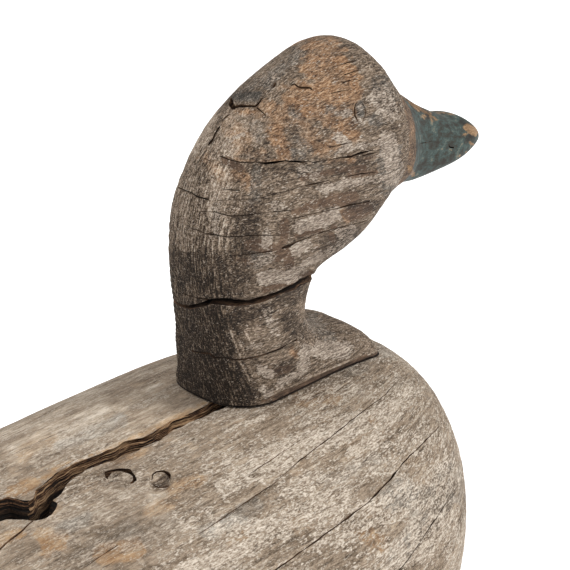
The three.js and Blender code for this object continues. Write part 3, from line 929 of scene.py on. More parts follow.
HEAD_CRACKS = [
    [
        (184, 294.2, 0.26, 1.5), (190, 295.8, 0.3, 3), (200, 297.8, 0.36, 3), (207, 299.3, 0.36, 3),
        (212, 300, 0.26, 3),
    ],
    [
        (192, 351.3, 0.45, 2), (200, 352.3, 0.45, 2.5), (210, 352.8, 0.45, 2.5), (214, 357.3, 0.45, 2.5),
        (222, 357.3, 0.45, 2.5), (232, 359.3, 0.45, 2.5), (241, 359.6, 0.45, 2.5), (250, 358, 0.45, 2.5),
        (270, 352.5, 0.51, 2.5), (280, 348.7, 0.51, 2.5), (290, 343, 0.45, 2), (297, 340, 0.45, 1.5),
    ],
    [
        (220, 156, 0.44, 3), (230, 160, 0.5, 4), (240, 162.5, 0.5, 4), (250, 162.5, 0.46, 4),
        (256, 162, 0.48, 4), (265, 163.5, 0.56, 4), (275, 162.5, 0.46, 4), (285, 161, 0.48, 4),
        (296, 161.5, 0.46, 4), (303, 162.3, 0.54, 4), (309, 161, 0.48, 4), (313, 163, 0.46, 3),
        (322, 161, 0.46, 4), (330, 160, 0.46, 4), (340, 157.5, 0.5, 4), (350, 156.5, 0.5, 4),
        (360, 153, 0.5, 4), (373, 150, 0.4, 2),
    ],
    [
        (178, 187, 0.26, 2), (184, 190, 0.36, 3), (191, 192.5, 0.36, 3), (199, 197.5, 0.36, 3),
        (209, 199.5, 0.27, 2),
    ],
    [
        (218, 200.2, 0.2, 2), (235, 200, 0.26, 2), (250, 199.5, 0.26, 3), (262, 197.5, 0.25, 2),
        (272, 194.5, 0.3, 3), (285, 191.5, 0.3, 3), (300, 187, 0.3, 3), (318, 183, 0.34, 3),
        (330, 180, 0.25, 2),
    ],
    [(222, 189, 0.2, 1), (232, 190, 0.26, 2), (240, 190.4, 0.2, 1)],
    [(345, 177, 0.2, 2), (360, 174, 0.35, 2), (376, 172, 0.2, 2)],
    [
        (290, 219, 0.2, 2), (300, 217, 0.3, 2), (315, 213, 0.35, 2), (330, 210, 0.3, 2),
        (350, 205, 0.35, 2), (370, 201, 0.25, 2),
    ],
    [
        (200, 211, 0.2, 1), (214, 212, 0.26, 2), (229, 216, 0.25, 2), (245, 215.5, 0.2, 2),
        (262, 213, 0.2, 2), (290, 210, 0.2, 1),
    ],
    [
        (188, 227.5, 0.26, 2), (199, 230.5, 0.3, 3), (205, 234, 0.27, 3), (216, 235, 0.3, 3),
        (230, 237, 0.27, 3), (245, 236, 0.26, 3), (262, 235, 0.27, 3), (280, 235.5, 0.2, 2),
    ],
    [(178, 249.5, 0.26, 2), (186, 253, 0.27, 2), (196, 255.5, 0.26, 2)],
    [(232, 256, 0.2, 1), (240, 255, 0.27, 2), (250, 254, 0.26, 2), (272, 251, 0.2, 2)],
    [
        (282, 248, 0.47, 3), (290, 246, 0.62, 3), (296, 242, 0.47, 3), (305, 239, 0.43, 3),
        (312, 235.5, 0.39, 3), (326, 231, 0.34, 3), (340, 227, 0.35, 3), (360, 222.5, 0.3, 3),
        (368, 219.5, 0.35, 2),
    ],
    [
        (291, 85.5, 0.3, 2), (294.5, 83.8, 0.6, 3), (297, 86.5, 0.6, 3), (301, 88, 0.9, 3.5),
        (310, 87.5, 0.8, 3), (312, 89.5, 0.5, 2),
    ],
    [(273.5, 88, 0.47, 2), (275.5, 82.5, 0.55, 2)],
    [(229, 115, 0.34, 2), (225, 118, 0.47, 2.5), (222, 121, 0.34, 2)],
    [
        (220, 126, 0.39, 2), (217, 131, 0.8, 3), (214.5, 135, 0.8, 3), (213, 139, 1.3, 4),
        (210.5, 142, 1.5, 4), (208, 145, 0.39, 2),
    ],
    [(207, 148, 0.34, 2), (203.5, 154, 0.42, 3), (201, 158, 0.3, 2), (198, 163, 0.26, 2)],
    [(204, 158, 0.2, 2), (213, 162.5, 0.27, 2)],
    [(257, 107.5, 0.34, 2), (262, 112, 0.34, 2), (266, 116, 0.2, 1)],
    [(331, 93.5, 0.2, 1.5), (341, 91, 0.34, 2), (350, 89.5, 0.2, 1.5)],
    [(342, 83, 0.2, 1.5), (350, 80.5, 0.34, 2), (358, 79, 0.2, 1.5)],
    [(344, 75, 0.25, 1.5), (352, 72.5, 0.39, 2), (360, 70, 0.3, 1.5)],
    [(338, 66, 0.2, 1.5), (348, 62.5, 0.35, 2), (356, 61, 0.2, 1.5)],
    [(356, 103, 0.34, 0.9), (354.3, 109, 0.55, 1.1), (354.6, 116, 0.5, 1.1), (358, 122, 0.34, 0.9)],
    [(361.5, 102, 0.3, 0.9), (365, 108, 0.46, 1), (365.5, 115, 0.42, 1), (363, 120, 0.34, 0.9)],
    [(362, 156, 0.2, 1.5), (372, 153.5, 0.35, 2), (380, 152, 0.2, 1.5)],
    [(330, 148, 0.2, 1.5), (341, 144.5, 0.35, 2), (352, 142, 0.2, 1.5)],
]
NOTCH = [(231, 98, 1, 2), (230.6, 103, 1.9, 3), (232.6, 108.6, 1.6, 3), (236, 106.8, 0.9, 3)]
LEDGE = [
    (234, 107, 0.9, 2.4), (240, 105.6, 0.9, 2.6), (248, 106, 0.9, 2.6), (255, 106.4, 0.9, 2.4),
    (259, 103, 0.6, 2), (262, 98, 0.3, 1),
]
BILL_MARKS = [
    [(420, 144, 0.12, 0.5), (426, 142.5, 0.22, 0.8), (432, 141, 0.15, 0.5)],
    [(448.5, 144.5, 0.4, 1), (449.5, 147.5, 0.8, 1.4), (454, 148, 0.6, 1.2)],
]

# Head: strokes of colour as strength, half width and places, in pixels

PALE = [
    (0.84, 7, 322, 221, 334, 214), (0.79, 7, 301, 228, 314, 224), (0.79, 7, 298, 250, 304, 247),
    (0.84, 4.5, 322, 190, 345, 184), (0.63, 9, 388, 140, 394, 178), (0.55, 13, 380, 100, 390, 112),
    (0.63, 7, 262, 278, 294, 277), (0.66, 5, 267, 233, 266, 245), (0.7, 4, 305, 264, 320, 256),
    (0.62, 3, 340, 150, 382, 143), (0.62, 4, 348, 184, 386, 177), (0.53, 5, 322, 256, 350, 240),
    (0.58, 4.5, 338, 233, 352, 229), (0.53, 5, 302, 170, 316, 176), (0.53, 5, 256, 262, 272, 258),
    (0.5, 6, 268, 312, 274, 330), (0.5, 4, 251, 346, 260, 346), (0.66, 5, 260, 370, 270, 374),
    (0.66, 5, 263, 390, 270, 396), (0.66, 6, 282, 384, 300, 376, 305, 350), (0.7, 9, 318, 350, 344, 352),
    (0.62, 5, 338, 136, 348, 145), (0.53, 4, 216, 205, 215, 235), (0.55, 3, 230, 140, 244, 134),
    (0.62, 4, 345, 114, 348, 112), (0.57, 3.5, 355, 119, 362, 122), (0.53, 5, 292, 272, 302, 270),
    (0.48, 6, 274, 205, 284, 208),
]
GREY = [
    (0.5, 8, 266, 82, 285, 66, 298, 54), (0.7, 6, 238, 97, 256, 96), (0.8, 5, 361, 106, 361, 114),
    (0.6, 9, 376, 121), (0.5, 6, 298, 138, 308, 148), (0.55, 6, 292, 154, 302, 154),
    (0.5, 12, 382, 84, 388, 105), (0.5, 7, 256, 170, 254, 200), (0.4, 5, 318, 66, 326, 60),
    (0.5, 5, 300, 118, 292, 112), (0.5, 7, 300, 172, 318, 168), (0.55, 12, 390, 150, 390, 185),
    (0.5, 9, 255, 262, 265, 250), (0.5, 9, 312, 320, 330, 340), (0.55, 6, 338, 112, 330, 110),
    (0.45, 7, 256, 124, 262, 138), (0.5, 5, 250, 88, 258, 82), (0.5, 4, 336, 152, 346, 148),
]
OCHRE = [
    (0.62, 24, 322, 62, 336, 84), (0.56, 20, 298, 98, 338, 112), (0.5, 14, 268, 112, 284, 118),
    (0.85, 7, 340, 58, 353, 80), (0.8, 8, 292, 100, 308, 112), (0.72, 10, 276, 130, 284, 150),
    (0.75, 7, 340, 128, 352, 134), (0.6, 9, 322, 148, 338, 140), (0.8, 2.4, 236, 160, 256, 161),
    (0.8, 2.4, 262, 161, 290, 159), (0.75, 3, 236, 111, 254, 112), (0.5, 13, 300, 126, 316, 140),
    (0.85, 2.6, 343, 212, 348, 220), (0.45, 9, 236, 172, 246, 184), (0.7, 3, 284, 250, 294, 253),
    (0.5, 7, 240, 150, 262, 154), (0.75, 3.2, 291, 348, 296, 356), (0.5, 5, 330, 161, 352, 159),
    (0.45, 12, 300, 42, 330, 36), (0.4, 6, 236, 256, 250, 262), (0.6, 11, 352, 92, 350, 122),
    (0.6, 1.6, 318, 378, 336, 370), (0.4, 12, 228, 128, 244, 140), (0.4, 8, 206, 160, 226, 182),
]
BARE = [
    (1, 6.4, 353, 197.5, 332, 200.5), (1, 4.6, 332, 201, 318, 203.5, 306, 208),
    (1, 3.4, 306, 208.5, 294, 212.5), (1, 4.4, 285, 222, 284, 240), (1, 3, 283, 240, 278, 247),
    (1, 5.6, 289, 253, 289, 263), (1, 4.4, 284, 250, 278, 258), (1, 7, 350, 214, 366, 209),
    (1, 2.6, 297, 236, 309, 232, 320, 229.5), (0.95, 3.4, 334, 227), (0.9, 2, 309, 241.5),
    (0.9, 2.4, 317, 247), (0.85, 3, 333, 240, 331, 233), (0.9, 3, 302, 178, 330, 172, 364, 167),
    (0.7, 3, 350, 176, 376, 172), (0.6, 2.6, 366, 159, 374, 156.5), (0.6, 7, 250, 245, 270, 247),
    (0.6, 5, 225, 160, 240, 168), (0.7, 1.6, 262, 401, 300, 387, 336, 370, 366, 355),
    (0.8, 3, 264, 290, 288, 283, 311, 273), (0.6, 4, 276, 372, 288, 368),
]
LIGHT = [
    (0.16, 14, 236, 122, 226, 145), (0.12, 9, 262, 118, 256, 140), (0.25, 9, 210, 115, 192, 145),
    (0.12, 8, 246, 330, 262, 325), (0.2, 8, 222, 175, 226, 195), (0.3, 0.9, 209, 303, 222, 305, 235, 307.5),
    (0.4, 1.6, 357, 118, 362, 119), (0.35, 0.9, 250, 305.5, 262, 303, 270, 300),
    (0.25, 2, 214, 170, 208, 230), (0.25, 1.6, 226, 180, 222, 240),
]
# Strokes of darker tone. The broad ones on the rear of the neck, low down, are partly dark wood and partly
# painted shade under the head.
DARK = [
    (0.34, 24, 205, 325, 212, 382), (0.25, 14, 240, 318, 262, 312), (0.2, 12, 236, 370, 246, 392),
    (0.06, 11, 258, 178, 262, 205), (0.14, 5, 240, 172, 300, 170), (0.18, 20, 190, 268, 235, 282),
    (0.3, 4.6, 352, 206, 374, 206), (0.2, 14, 250, 220, 242, 250), (0.25, 6, 278, 372, 292, 366),
    (0.2, 9, 285, 300, 300, 292), (0.16, 8, 340, 168, 360, 164), (0.22, 8, 326, 246, 352, 236),
    (0.2, 9, 288, 318, 296, 330), (0.2, 5, 232, 95, 260, 95),
]
FIBRES = [  # lines of light fibres on the lower neck
    (0.5, 0.7, 212, 330, 216, 352), (0.5, 0.7, 222, 335, 227, 345), (0.55, 0.8, 230, 330, 240, 357),
    (0.5, 0.7, 238, 340, 244, 350), (0.5, 0.7, 246, 333, 251, 343), (0.45, 0.8, 240, 362, 250, 380),
]
WORN = [
    (0.7, 2.4, 411, 103, 419, 110), (0.55, 2.6, 420, 109, 430, 114), (0.8, 5, 468, 128, 474, 132),
    (0.6, 2, 470, 142, 475, 146), (0.45, 2.6, 460, 155), (0.5, 1.8, 432, 112.5, 460, 114.5),
    (0.45, 2.4, 444, 161), (0.7, 3, 409, 167, 412, 174), (0.45, 2.4, 452, 150),
    (0.5, 3.4, 422, 117, 434, 119), (0.5, 2, 462, 136, 466, 134), (0.55, 1.4, 466, 152, 472, 148),
    (0.6, 1.2, 447, 126),
]
STAINS = [
    (0.8, 2.6, 466, 142, 468, 137), (0.8, 2, 461, 121, 465, 123), (0.7, 1.6, 434, 142),
    (0.7, 1.3, 448, 126), (0.6, 2, 376, 122), (0.7, 1.6, 372, 154, 366, 156), (0.6, 3, 247, 92, 241, 98),
    (0.6, 2.4, 254, 98), (0.7, 2, 210.5, 142), (0.4, 2, 356, 109, 357, 116),
]

BAND_X = 148.4      # where the band behind the bill's paint starts, on the cheeks
BAND_LEAN, BAND_LEAN_Z = 0.3, 178  # how much it leans forward, and above which height
PAINT_BEHIND = 8.8  # from there to the paint
PAINT_BACK, PAINT_BACK_Z = 4, (167, 176)  # how much more at the brow, and over which heights it grows
BILL_TOP_BARE = 25  # how far the paint has gone from the top of the bill
BILL_Z = 140        # marks of the band and the bill keep above this height
TIP_X = 201.5       # where the paint has gone from the tip
CROWN_Z, CROWN_X = (185, 197), (108, 125)  # where the crown's ochre sets in, upwards and forwards
NAPE_DARK_Z = (122, 168)    # heights over which the nape's darker lower part fades: dark wood, and painted shade under the head
END_FADE_Z = (176, 192)     # heights over which the end grain's lines fade
SEAM = 0.28         # height of the painted shade under the foot's edge, in its joint with the back
WALL = 2.6          # height of the foot's upright edge
WALL_BACK_X = 91    # where that edge starts behind
WALL_FALL, WALL_FALL_X = 0.03, 95  # how fast it gets lower, and in front of which place


def shoulder(middle, reach, values):
    """A soft step from 0 to 1 round the middle."""
    return smooth(middle - reach, middle + reach, values)


def foot_edge(points, mask):
    """The foot's upright edge: bare and darker, with a painted highlight along its arris."""
    x, y, _ = points.T
    up = above_back(points)
    edge = shoulder(WALL_BACK_X, 3, x) * smooth(0, 4, -y)
    height = WALL + 0.35 * noise(points, (5, 5, 5), 104, 2) - WALL_FALL * np.clip(x - WALL_FALL_X, 0, None)
    # a painted highlight along the arris, and the upright edge below it darker
    arris_highlight = smooth(height, height + 0.25, up) - smooth(height + 0.5, height + 1, up)
    below = edge * (up < height)
    mask["tone"] += 0.2 * (edge * arris_highlight - below)
    mask["bare"] = np.maximum(mask["bare"], 0.62 * below)
    mask["pale"] = mask["pale"] * (1 - 0.8 * edge * (1 - smooth(height, height + 0.4, up)))


def head_masks(points, normals):
    marks = Marks(points, normals)
    x, y, z = points.T
    right = smooth(2, 10, -y)
    seen = right + (1 - right) * marks.facing
    hidden = 1 - seen
    nape = smooth(0.35, 0.9, -normals[:, 0])
    on_bill = shoulder(BILL_Z, 2, z)
    base = x - BAND_X - BAND_LEAN * np.clip(z - BAND_LEAN_Z, 0, None)
    wander = 1.2 * noise(points, (4, 3, 3), 90, 3)
    brow = smooth(0.3, 0.8, normals[:, 2])
    front = smooth(-0.4 - 4 * brow, 1.2 + 4 * brow, base + 2.5 * wander * brow) * on_bill
    past = smooth(BILL_TOP_BARE, BILL_TOP_BARE + 8, base + 2 * wander)
    topside = smooth(0.5, 0.8, normals[:, 2]) * (1 - past)
    edge = PAINT_BEHIND + PAINT_BACK * smooth(*PAINT_BACK_Z, z)
    tip = shoulder(TIP_X, 3, x + 2 * noise(points, (3, 3, 3), 97, 2) + 0.12 * np.abs(y))
    wide = np.clip(0.45 + 0.25 * noise(points, (14, 8, 8), 96, 2), 0, 1) * (1 - nape)
    crown = smooth(*CROWN_Z, z) * smooth(*CROWN_X, x) * (1 - marks.facing)
    # the lower rear of the neck is darker: dark wood, and painted shade under the head
    low = 1 - smooth(*NAPE_DARK_Z, z + 10 * noise(points, (14, 14, 14), 95, 2))
    tone = 0.5 - 0.36 * nape * low + marks.cover(LIGHT, 100, edge=3) - marks.cover(DARK, 101, edge=4)
    tone += marks.cover(FIBRES, 102, rough=0.3, edge=0.5)
    pale = np.maximum(np.maximum(marks.cover(PALE, 93), 0.33) * seen, hidden * wide)
    grey = np.maximum(marks.cover(GREY, 92, edge=3.5), hidden * (1 - wide))
    stains = marks.cover(STAINS, 103, rough=0.4, edge=0.7)
    mask = {
        "end": smooth(0.4, 0.8, np.abs(normals[:, 0])) * (1 - smooth(*END_FADE_Z, z)),
        "teal": shoulder(edge, 2.6, base + 1.6 * wander) * on_bill * (1 - 0.75 * topside),
        "worn": np.maximum.reduce([marks.cover(WORN, 98, edge=2), 0.8 * tip, 0.35 * topside * front]),
        "ochre": np.maximum.reduce([marks.cover(OCHRE, 91, edge=5), 0.42 * front, 0.7 * crown]),
        "pale": pale * (1 - front),
        "grey": grey * (1 - front),
        "bare": between(marks.cover(BARE, 94, edge=0.7, rough=0.35), 0.5, front),
        "tone": between(tone, 0.43, front),
        # stains, and painted shade along the foot's lowest edge where it meets the back
        "dust": np.maximum(stains, 1 - shoulder(SEAM, 0.12, above_back(points))),
    }
    foot_edge(points, mask)
    return mask


def shade_round(mask, points, rows, reach, strength):
    """Painted shade along a crack, darker nearer to it."""
    near = 1 - smooth(0, reach, line_distance(points, places_of(rows)))
    mask["dust"] = np.maximum(mask["dust"], strength * near)


def make_head():
    points, faces = head_blank()
    normals = normals_of(points, faces)
    points = inside_box(points - normals * head_relief(points, normals)[:, None])
    surface = Surface(points, faces)
    inner = split_wood("head_split", HEAD_SPLIT, 4)
    head = piece("head_skin", points, faces, [head_wood(), inner])

    hidden_left, hidden_front = ([(row[:3], *row[3:]) for row in rows] for rows in (NECK_LEFT, NECK_FRONT))
    neck = hidden_left + seen_path(surface, NECK_SEEN) + hidden_front
    bill = [seen_path(surface, crack) for crack in BILL_MARKS]
    cracks = [seen_path(surface, crack) for crack in HEAD_CRACKS]
    marks = cracks + bill + [across_middle(crack) for crack in bill]
    tools = [split("neck_split", surface, neck, inner, 3, 0.3, 0.6, 7, broken=0.15)]
    for k, crack in enumerate(marks):
        tools.append(split(f"crack_{k}", surface, crack, inner, 40 + k, broken=0.55))
    tools.append(split("nape_notch", surface, seen_path(surface, NOTCH), inner, 71, 0.3, broken=0.1))
    cut(head, tools)
    cut(head, [split("nape_ledge", surface, seen_path(surface, LEDGE), inner, 72, 0.3, broken=0.2)])

    points, normals = points_of(head)
    mask = head_masks(points, normals)
    # painted shade round the cracks and the neck's split
    for crack in cracks:
        shade_round(mask, points, crack, 0.6, 0.18)
    shade_round(mask, points, neck, 2.6, 0.35)
    paint_on(head, {"depth": below_surface(surface, points), **clipped(mask)})
    settle(head, "head")


# Body: cracks, and strokes of colour

CHECK = [  # x, y, width and depth along the back
    (104, -4.6, 3, 8), (90, -5.2, 5, 11), (80, -5.4, 5.5, 12), (72, -5.3, 5.1, 12), (65, -4.3, 5.8, 12),
    (60, -4.7, 5.5, 13), (55, -5.3, 5.5, 13), (50, -5, 5.9, 13), (45, -4, 7.2, 13), (40, -3.8, 7.1, 13),
    (35, -3.6, 6.6, 13), (30, -3, 6, 13), (25, -2.4, 6.3, 13), (20, -3.1, 7, 12), (15, -4.3, 7, 12),
    (10, -6.7, 7.6, 12), (5, -8.8, 5.8, 12), (0, -9.4, 4.4, 11),
]
CHECK_FAR_LIP = [
    (205, 402), (197, 409), (180, 415), (160, 426.5), (140, 436), (120, 445), (100, 452), (80, 460),
    (60, 467), (50, 474), (38, 483),
]
KNOTHOLE = [  # its outline, in pixels
    (-14, 516), (-12, 508), (-4, 501), (0, 499.5), (8, 497), (15, 498.5), (25, 500.5), (32, 500.5),
    (40, 499), (47, 497.5), (53, 500), (58, 503.5), (55.5, 510), (52, 515), (46, 518.5), (40, 520),
    (33, 521), (25, 519.7), (15, 519.5), (7, 519.3), (0, 521.5), (-7, 522),
]
HOLE_SIDES = 56
HOLE_ROUGH, MOUTH_ROUGH = 0.12, 0.03
# Height over the seat and size against the outline
HOLE_LEVELS = [
    (PROUD, 1.03), (0, 1), (-1.5, 0.95), (-3.5, 0.88), (-6, 0.82), (-9, 0.74), (-12, 0.62), (-13.5, 0.4),
]
TRAIL = [(33, 521, 0.4, 1.5), (24, 529, 0.4, 2), (14, 537, 0.5, 2.5), (6, 543, 0.6, 3), (0, 549, 0.7, 3)]
TRAIL_BEHIND = [(-44, -26, 0.9, 4), (-76, -29, 0.8, 3), (-104, -31, 0.5, 2)]
SIDE_CRACKS = [
    [
        (143, -42.9, 0.2, 2), (136, -45.6, 0.35, 4), (129.4, -47.8, 0.4, 5), (116.6, -51.1, 0.32, 5),
        (104, -54.6, 0.42, 5), (91.7, -57.2, 0.36, 5), (80, -58.3, 0.42, 5), (58.8, -59.6, 0.36, 5),
        (49, -60.1, 0.36, 5), (12, -61, 0.3, 4), (-30, -60.5, 0.2, 2),
    ],
    [(131.9, -57.5, 0.15, 1.5), (113.2, -64.3, 0.24, 2.5), (93.3, -69.4, 0.26, 3), (62, -71.5, 0.15, 1.5)],
    [
        (137, -29, 0.15, 0.8), (129.2, -31.8, 0.26, 1.5), (112.2, -34.8, 0.28, 1.5),
        (96.3, -37.4, 0.28, 1.5), (80.6, -39.4, 0.28, 1.5), (67.2, -41.7, 0.28, 1.5),
        (50.2, -43, 0.26, 1.5), (33.5, -44.2, 0.15, 0.8),
    ],
]
WIDE_HAIR = ((0.15, 0.5), (0.2, 0.7), (0.15, 0.5))  # gap and depth at the start, middle and end
THIN_HAIR = ((0.12, 0.4), (0.18, 0.6), (0.12, 0.4))
HAIR_CRACKS = [
    (WIDE_HAIR, (2, 436), (24, 425), (62, 405)), (WIDE_HAIR, (84, 568), (98, 558), (118, 545)),
    (THIN_HAIR, (175, 511), (182, 506), (190, 500)), (THIN_HAIR, (196, 536), (216, 523), (238, 510)),
    (THIN_HAIR, (240, 480), (268, 462), (300, 440)), (THIN_HAIR, (318, 404), (336, 392), (356, 378)),
]
KNOT_RIMS = [
    [
        (105.6, 478, 1, 2), (106.4, 474, 1.8, 2.4), (111, 471.3, 0.8, 1.8), (121, 470.4, 0.7, 1.6),
        (128, 471.8, 1.2, 2.2), (132.8, 475.6, 2.1, 3), (134, 480, 1.6, 2.6), (132.5, 483.5, 0.6, 1.5),
    ],
    [
        (151.8, 480, 0.4, 1), (153, 475, 0.6, 1.2), (157, 472, 0.5, 1.2), (163, 472.3, 0.8, 1.4),
        (168, 475, 1.2, 1.8), (170, 479, 0.6, 1.2),
    ],
    [(153, 485, 0.3, 0.8), (159, 487.5, 0.6, 1), (166, 487, 0.5, 1), (170, 484, 0.2, 0.6)],
]
RIM_ROUGH, HAIR_ROUGH = 0.55, 0.25  # raggedness of the knots' rims and of thin cracks
SHORT_CRACKS = 16           # small checks all over the back and sides, placed at random
SHORT_X = (-150, 120)       # where they start
SHORT_SIDE = (-0.86, 0.86)  # how far to the side, as a share of the half breadth
SHORT_LENGTH, SHORT_GAP, SHORT_DEPTH = (12, 34), (0.12, 0.2), 0.8
CHECK_INTO, SIDE_INTO = (0, 0.12, -1), (0, 0.45, -1)  # ways that cracks run into the wood
FOOT_MIDDLE_X, FOOT_REACH = 103, (38, 20)  # the head's foot, as an oval in plan, for the painted shade round it
BACK_Z = (90, 96)           # heights over which that painted shade sets in

WHITE = [
    (0.55, 9, 36, 460, 92, 433), (0.52, 6, 135, 407, 186, 384), (0.56, 10, 125, 550, 188, 522),
    (0.72, 10, 180, 574, 246, 548), (0.5, 8, 76, 560, 112, 540), (0.5, 6, 76, 526, 122, 505),
    (0.6, 11, 222, 488, 300, 452), (0.62, 14, 262, 462, 352, 420), (0.6, 12, 310, 448, 392, 410),
    (0.58, 16, 240, 542, 340, 496), (0.5, 14, 372, 464, 428, 434), (0.52, 20, 414, 508, 446, 474),
    (0.54, 17, 325, 536, 395, 502), (0.58, 18, 404, 552, 444, 522), (0.68, 5, 246, 470, 316, 439),
    (0.5, 6, 352, 395, 396, 374), (0.64, 4, 226, 432, 262, 418), (0.66, 4, 300, 426, 338, 410),
    (0.66, 7, 352, 452, 372, 440), (0.66, 6, 384, 500, 400, 486), (0.66, 6, 286, 494, 306, 482),
]
BODY_OCHRE = [
    (1, 6, 12, 491, 32, 484), (0.95, 13, 48, 541, 58, 538), (1, 10, 106, 556, 134, 551),
    (1, 8, 2, 541, 18, 534), (0.7, 3, 54, 498, 58, 506, 50, 519), (0.55, 8, 172, 490, 196, 480),
    (0.6, 6, 52, 478, 76, 468), (0.6, 7, 338, 343, 366, 330), (0.5, 7, 150, 511, 176, 500),
    (0.5, 9, 24, 452, 50, 440), (0.55, 8, 110, 462, 140, 452), (0.6, 9, 370, 536, 382, 545),
    (0.6, 5, 372, 420, 376, 423), (0.5, 9, 236, 540, 244, 536), (0.5, 10, 296, 400, 330, 398),
]
BODY_GREY = [
    (0.6, 8, 60, 447, 120, 420), (0.6, 9, 62, 528, 84, 518), (0.6, 10, 205, 532, 255, 509),
    (0.5, 11, 345, 369, 385, 350), (0.5, 20, 428, 512, 452, 480), (0.5, 8, 325, 482, 375, 458),
    (0.7, 14, 392, 500, 408, 490), (0.55, 12, 396, 560, 420, 520),
]
# Strokes of darker tone; the last one, on the back along the head's foot, is painted shade.
BODY_DARK = [
    (0.4, 3.4, 155, 486, 168, 487), (0.45, 4, 162, 478, 168, 477), (0.16, 8, 115, 481, 124, 481),
    (0.3, 2.4, 131, 543), (0.25, 2.4, 112, 549), (0.25, 2.4, 205, 546), (0.2, 6, 104, 475),
    (0.14, 16, 440, 500, 410, 560), (0.12, 14, 250, 560, 300, 536), (0.12, 18, 60, 560, 130, 530),
    (0.2, 7, 250, 414, 300, 396, 360, 366),
]
SOFT = [(0.85, 60, 20, 440, 150, 385), (1, 46, 30, 560, 130, 520), (0.6, 26, 120, 460, 190, 440)]
BODY_LIGHT = [(0.3, 1.6, 150, 494, 165, 494), (0.2, 22, 20, 440, 90, 410), (0.14, 20, 100, 430, 170, 400)]


def sized(sizes, *places):
    return [(*place, *size) for place, size in zip(places, sizes)]


def short_cracks(surface):
    """Small checks that follow the outline, as the grain on the sides seems to."""
    draw = np.random.default_rng(7)
    cracks = []
    for _ in range(SHORT_CRACKS):
        x, share = draw.uniform(*SHORT_X), draw.uniform(*SHORT_SIDE)
        length, gap = draw.uniform(*SHORT_LENGTH), draw.uniform(*SHORT_GAP)
        row = []
        for step in (0, 0.5, 1):
            along = x + length * step
            y = share * body_half_width(np.array(along))
            row.append((surface.below(along, y), gap * (1.4 - abs(2 * step - 1)), SHORT_DEPTH))
        cracks.append(row)
    return cracks


def knothole(surface, material):
    corners = np.array([tuple(surface.seen(*pixel)) for pixel in KNOTHOLE])
    corners = np.vstack([corners, corners[:1]])
    length = arc_length(corners)
    along = np.linspace(0, length[-1], HOLE_SIDES, endpoint=False)
    outline = np.stack([np.interp(along, length, corners[:, k]) for k in range(2)], 1)
    middle = outline.mean(0)
    rings = []
    for z, share in HOLE_LEVELS:
        ring = np.column_stack([middle + (outline - middle) * share, np.full(HOLE_SIDES, SEAT_Z + z)])
        rough = 1 + (HOLE_ROUGH if z < 0 else MOUTH_ROUGH) * noise(ring, (3, 3, 1.5), 67, 3)[:, None]
        ring[:, :2] = middle + (ring[:, :2] - middle) * rough
        rings.append(ring)
    return cutter("knothole", np.array(rings), material)


def body_masks(points, normals):
    marks = Marks(points, normals)
    cell, small = (12, 4, 4), (6, 4, 4)
    ground = 0.42 + 0.24 * noise(points, (14, 8, 8), 81, 3)
    mottle = 0.18 + 0.3 * noise(points, (16, 9, 9), 89, 2)
    cloud = 0.2 + 0.3 * noise(points, (18, 9, 9), 85, 2)
    far_lip = 0.9 * (1 - smooth(0.8, 3, line_distance(marks.pixels, CHECK_FAR_LIP))) * marks.facing
    # darker along the check's lips, and painted shade on the back round and under the head's foot
    lip = 1 - smooth(0, 4, line_distance(points, [(x, y, SEAT_Z) for x, y, _, _ in CHECK]))
    foot = np.hypot((points[:, 0] - FOOT_MIDDLE_X) / FOOT_REACH[0], points[:, 1] / FOOT_REACH[1])
    shade = (1 - smooth(0.75, 1.15, foot)) * smooth(*BACK_Z, points[:, 2])
    dust = np.maximum(0.4 * lip, 0.35 * shade)
    return {
        "soft": marks.cover(SOFT, 90, cell, edge=14),
        "white": np.maximum(marks.cover(WHITE, 82, cell, edge=4), ground),
        "ochre": np.maximum.reduce([marks.cover(BODY_OCHRE, 83, small, edge=4), far_lip, mottle]),
        "grey": np.maximum(marks.cover(BODY_GREY, 84, small, edge=5), cloud),
        "tone": 0.5 + marks.cover(BODY_LIGHT, 87, cell, edge=6) - marks.cover(BODY_DARK, 88, cell, edge=3),
        "dust": dust * (0.6 + 0.4 * noise(points, (6, 2, 2), 86, 2)),
    }


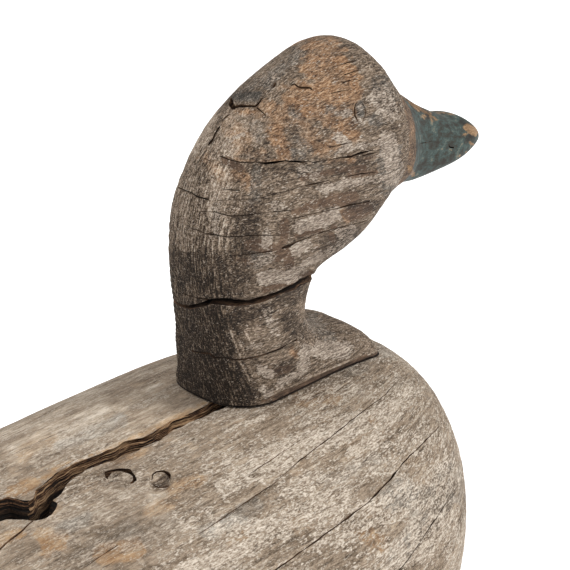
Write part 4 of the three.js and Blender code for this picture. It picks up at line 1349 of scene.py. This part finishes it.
def make_body():
    points, faces = body_blank()
    normals = normals_of(points, faces)
    points = inside_box(points - normals * body_relief(points, normals)[:, None])
    points[:, 2] = np.minimum(points[:, 2], SEAT_Z + JOINT_GAP / 2)
    surface = Surface(points, faces)
    inner = split_wood("body_split", BODY_SPLIT, 3.5)
    torn = split_wood("check_wood", CHECK_WOOD, 11, 0.5, 3.2)
    hollow = split_wood("knothole_wood", KNOTHOLE_WOOD, 5, 0.7, 3)
    body = piece("body_skin", points, faces, [body_wood(), inner, torn, hollow])

    check = plan_path(surface, CHECK)
    tools = [split("back_check", surface, check, torn, 5, 0.75, 0.6, 26, (14, 0.8), CHECK_INTO, 0.1)]
    for k, rows in enumerate(SIDE_CRACKS):
        crack = plan_path(surface, rows)
        look = (0.5, 0.6, 5, (3, 1.2), SIDE_INTO, 0.45)
        tools.append(split(f"side_{k}", surface, crack, inner, 60 + k, *look))
    rims = [seen_path(surface, crack) for crack in KNOT_RIMS]
    hairs = [seen_path(surface, sized(*crack)) for crack in HAIR_CRACKS] + short_cracks(surface)
    for k, crack in enumerate(rims + hairs):
        ragged = RIM_ROUGH if k < len(rims) else HAIR_ROUGH
        tools.append(split(f"crack_{k}", surface, crack, inner, 70 + k, ragged))
    cut(body, tools)
    cut(body, [knothole(surface, hollow)])
    trail = seen_path(surface, TRAIL) + plan_path(surface, TRAIL_BEHIND)
    cut(body, [split("back_split", surface, trail, inner, 6, 0.4, 0.7, 8, (9, 1.2), CHECK_INTO, 0.3)])

    points, normals = points_of(body)
    breadth = HALF_WIDTH / np.clip(body_half_width(points[:, 0]), 30, None)
    flow = points * np.stack([1 + 0 * breadth, breadth, 1 + 0 * breadth], 1)
    layer = body.data.attributes.new("flow", "FLOAT_VECTOR", "POINT")
    layer.data.foreach_set("vector", flow.ravel().astype(np.float32))
    paint_on(body, {"depth": below_surface(surface, points), **clipped(body_masks(points, normals))})
    settle(body, "body")


make_head()
make_body()

# Studio

SENSOR = 36    # mm
FLOOR_REACH = 4  # metres
AIM = (0.05, 0, 0.1)
REAR_AIM = (-0.05, 0, 0.1)


def area_light(name, at, toward, size, power, colour):
    data = bpy.data.lights.new(name, "AREA")
    data.shape = "DISK"
    data.size = size
    data.energy = power
    data.color = colour
    made = placed(name, data)
    made.location = at
    made.rotation_euler = (Vector(toward) - Vector(at)).to_track_quat("-Z", "Y").to_euler()


paper = bpy.data.materials.new("paper")
paper.use_nodes = True
sheet = paper.node_tree.nodes["Principled BSDF"].inputs
sheet["Base Color"].default_value = (0.6, 0.6, 0.6, 1)
sheet["Roughness"].default_value = 0.9
sheet["Specular IOR Level"].default_value = 0
sheet["Emission Color"].default_value = (1, 1, 1, 1)
sheet["Emission Strength"].default_value = 0.75
corners = np.array([(-1, -1, 0), (1, -1, 0), (1, 1, 0), (-1, 1, 0)]) * FLOOR_REACH
floor = piece("floor", corners, np.array([(0, 1, 2, 3)]), [paper])

world = bpy.data.worlds.new("studio")
world.use_nodes = True
sky = world.node_tree.nodes["Background"].inputs
sky["Color"].default_value = (1, 1, 1, 1)
sky["Strength"].default_value = 0.55
area_light("key", (1.0, -1.3, 1.7), AIM, 0.9, 33, (1, 0.985, 0.96))
area_light("fill", (-1.4, -1.2, 1.2), AIM, 1.4, 7, (0.97, 0.985, 1))
area_light("rear", (-0.8, 0.9, 1.4), REAR_AIM, 0.9, 12, (1, 0.99, 0.97))

lens = bpy.data.cameras.new("camera")
lens.sensor_width = SENSOR
lens.lens = LENS_PIXELS / PHOTO_SIDE * SENSOR
lens.clip_start, lens.clip_end = 0.05, 20
camera = placed("camera", lens)
camera.matrix_world = Matrix.Translation(EYE * MM) @ Matrix((RIGHT, UPWARD, -AHEAD)).transposed().to_4x4()

scene = bpy.context.scene
scene.world = world
scene.camera = camera
scene.view_settings.view_transform = "Standard"
scene.view_settings.look = "None"
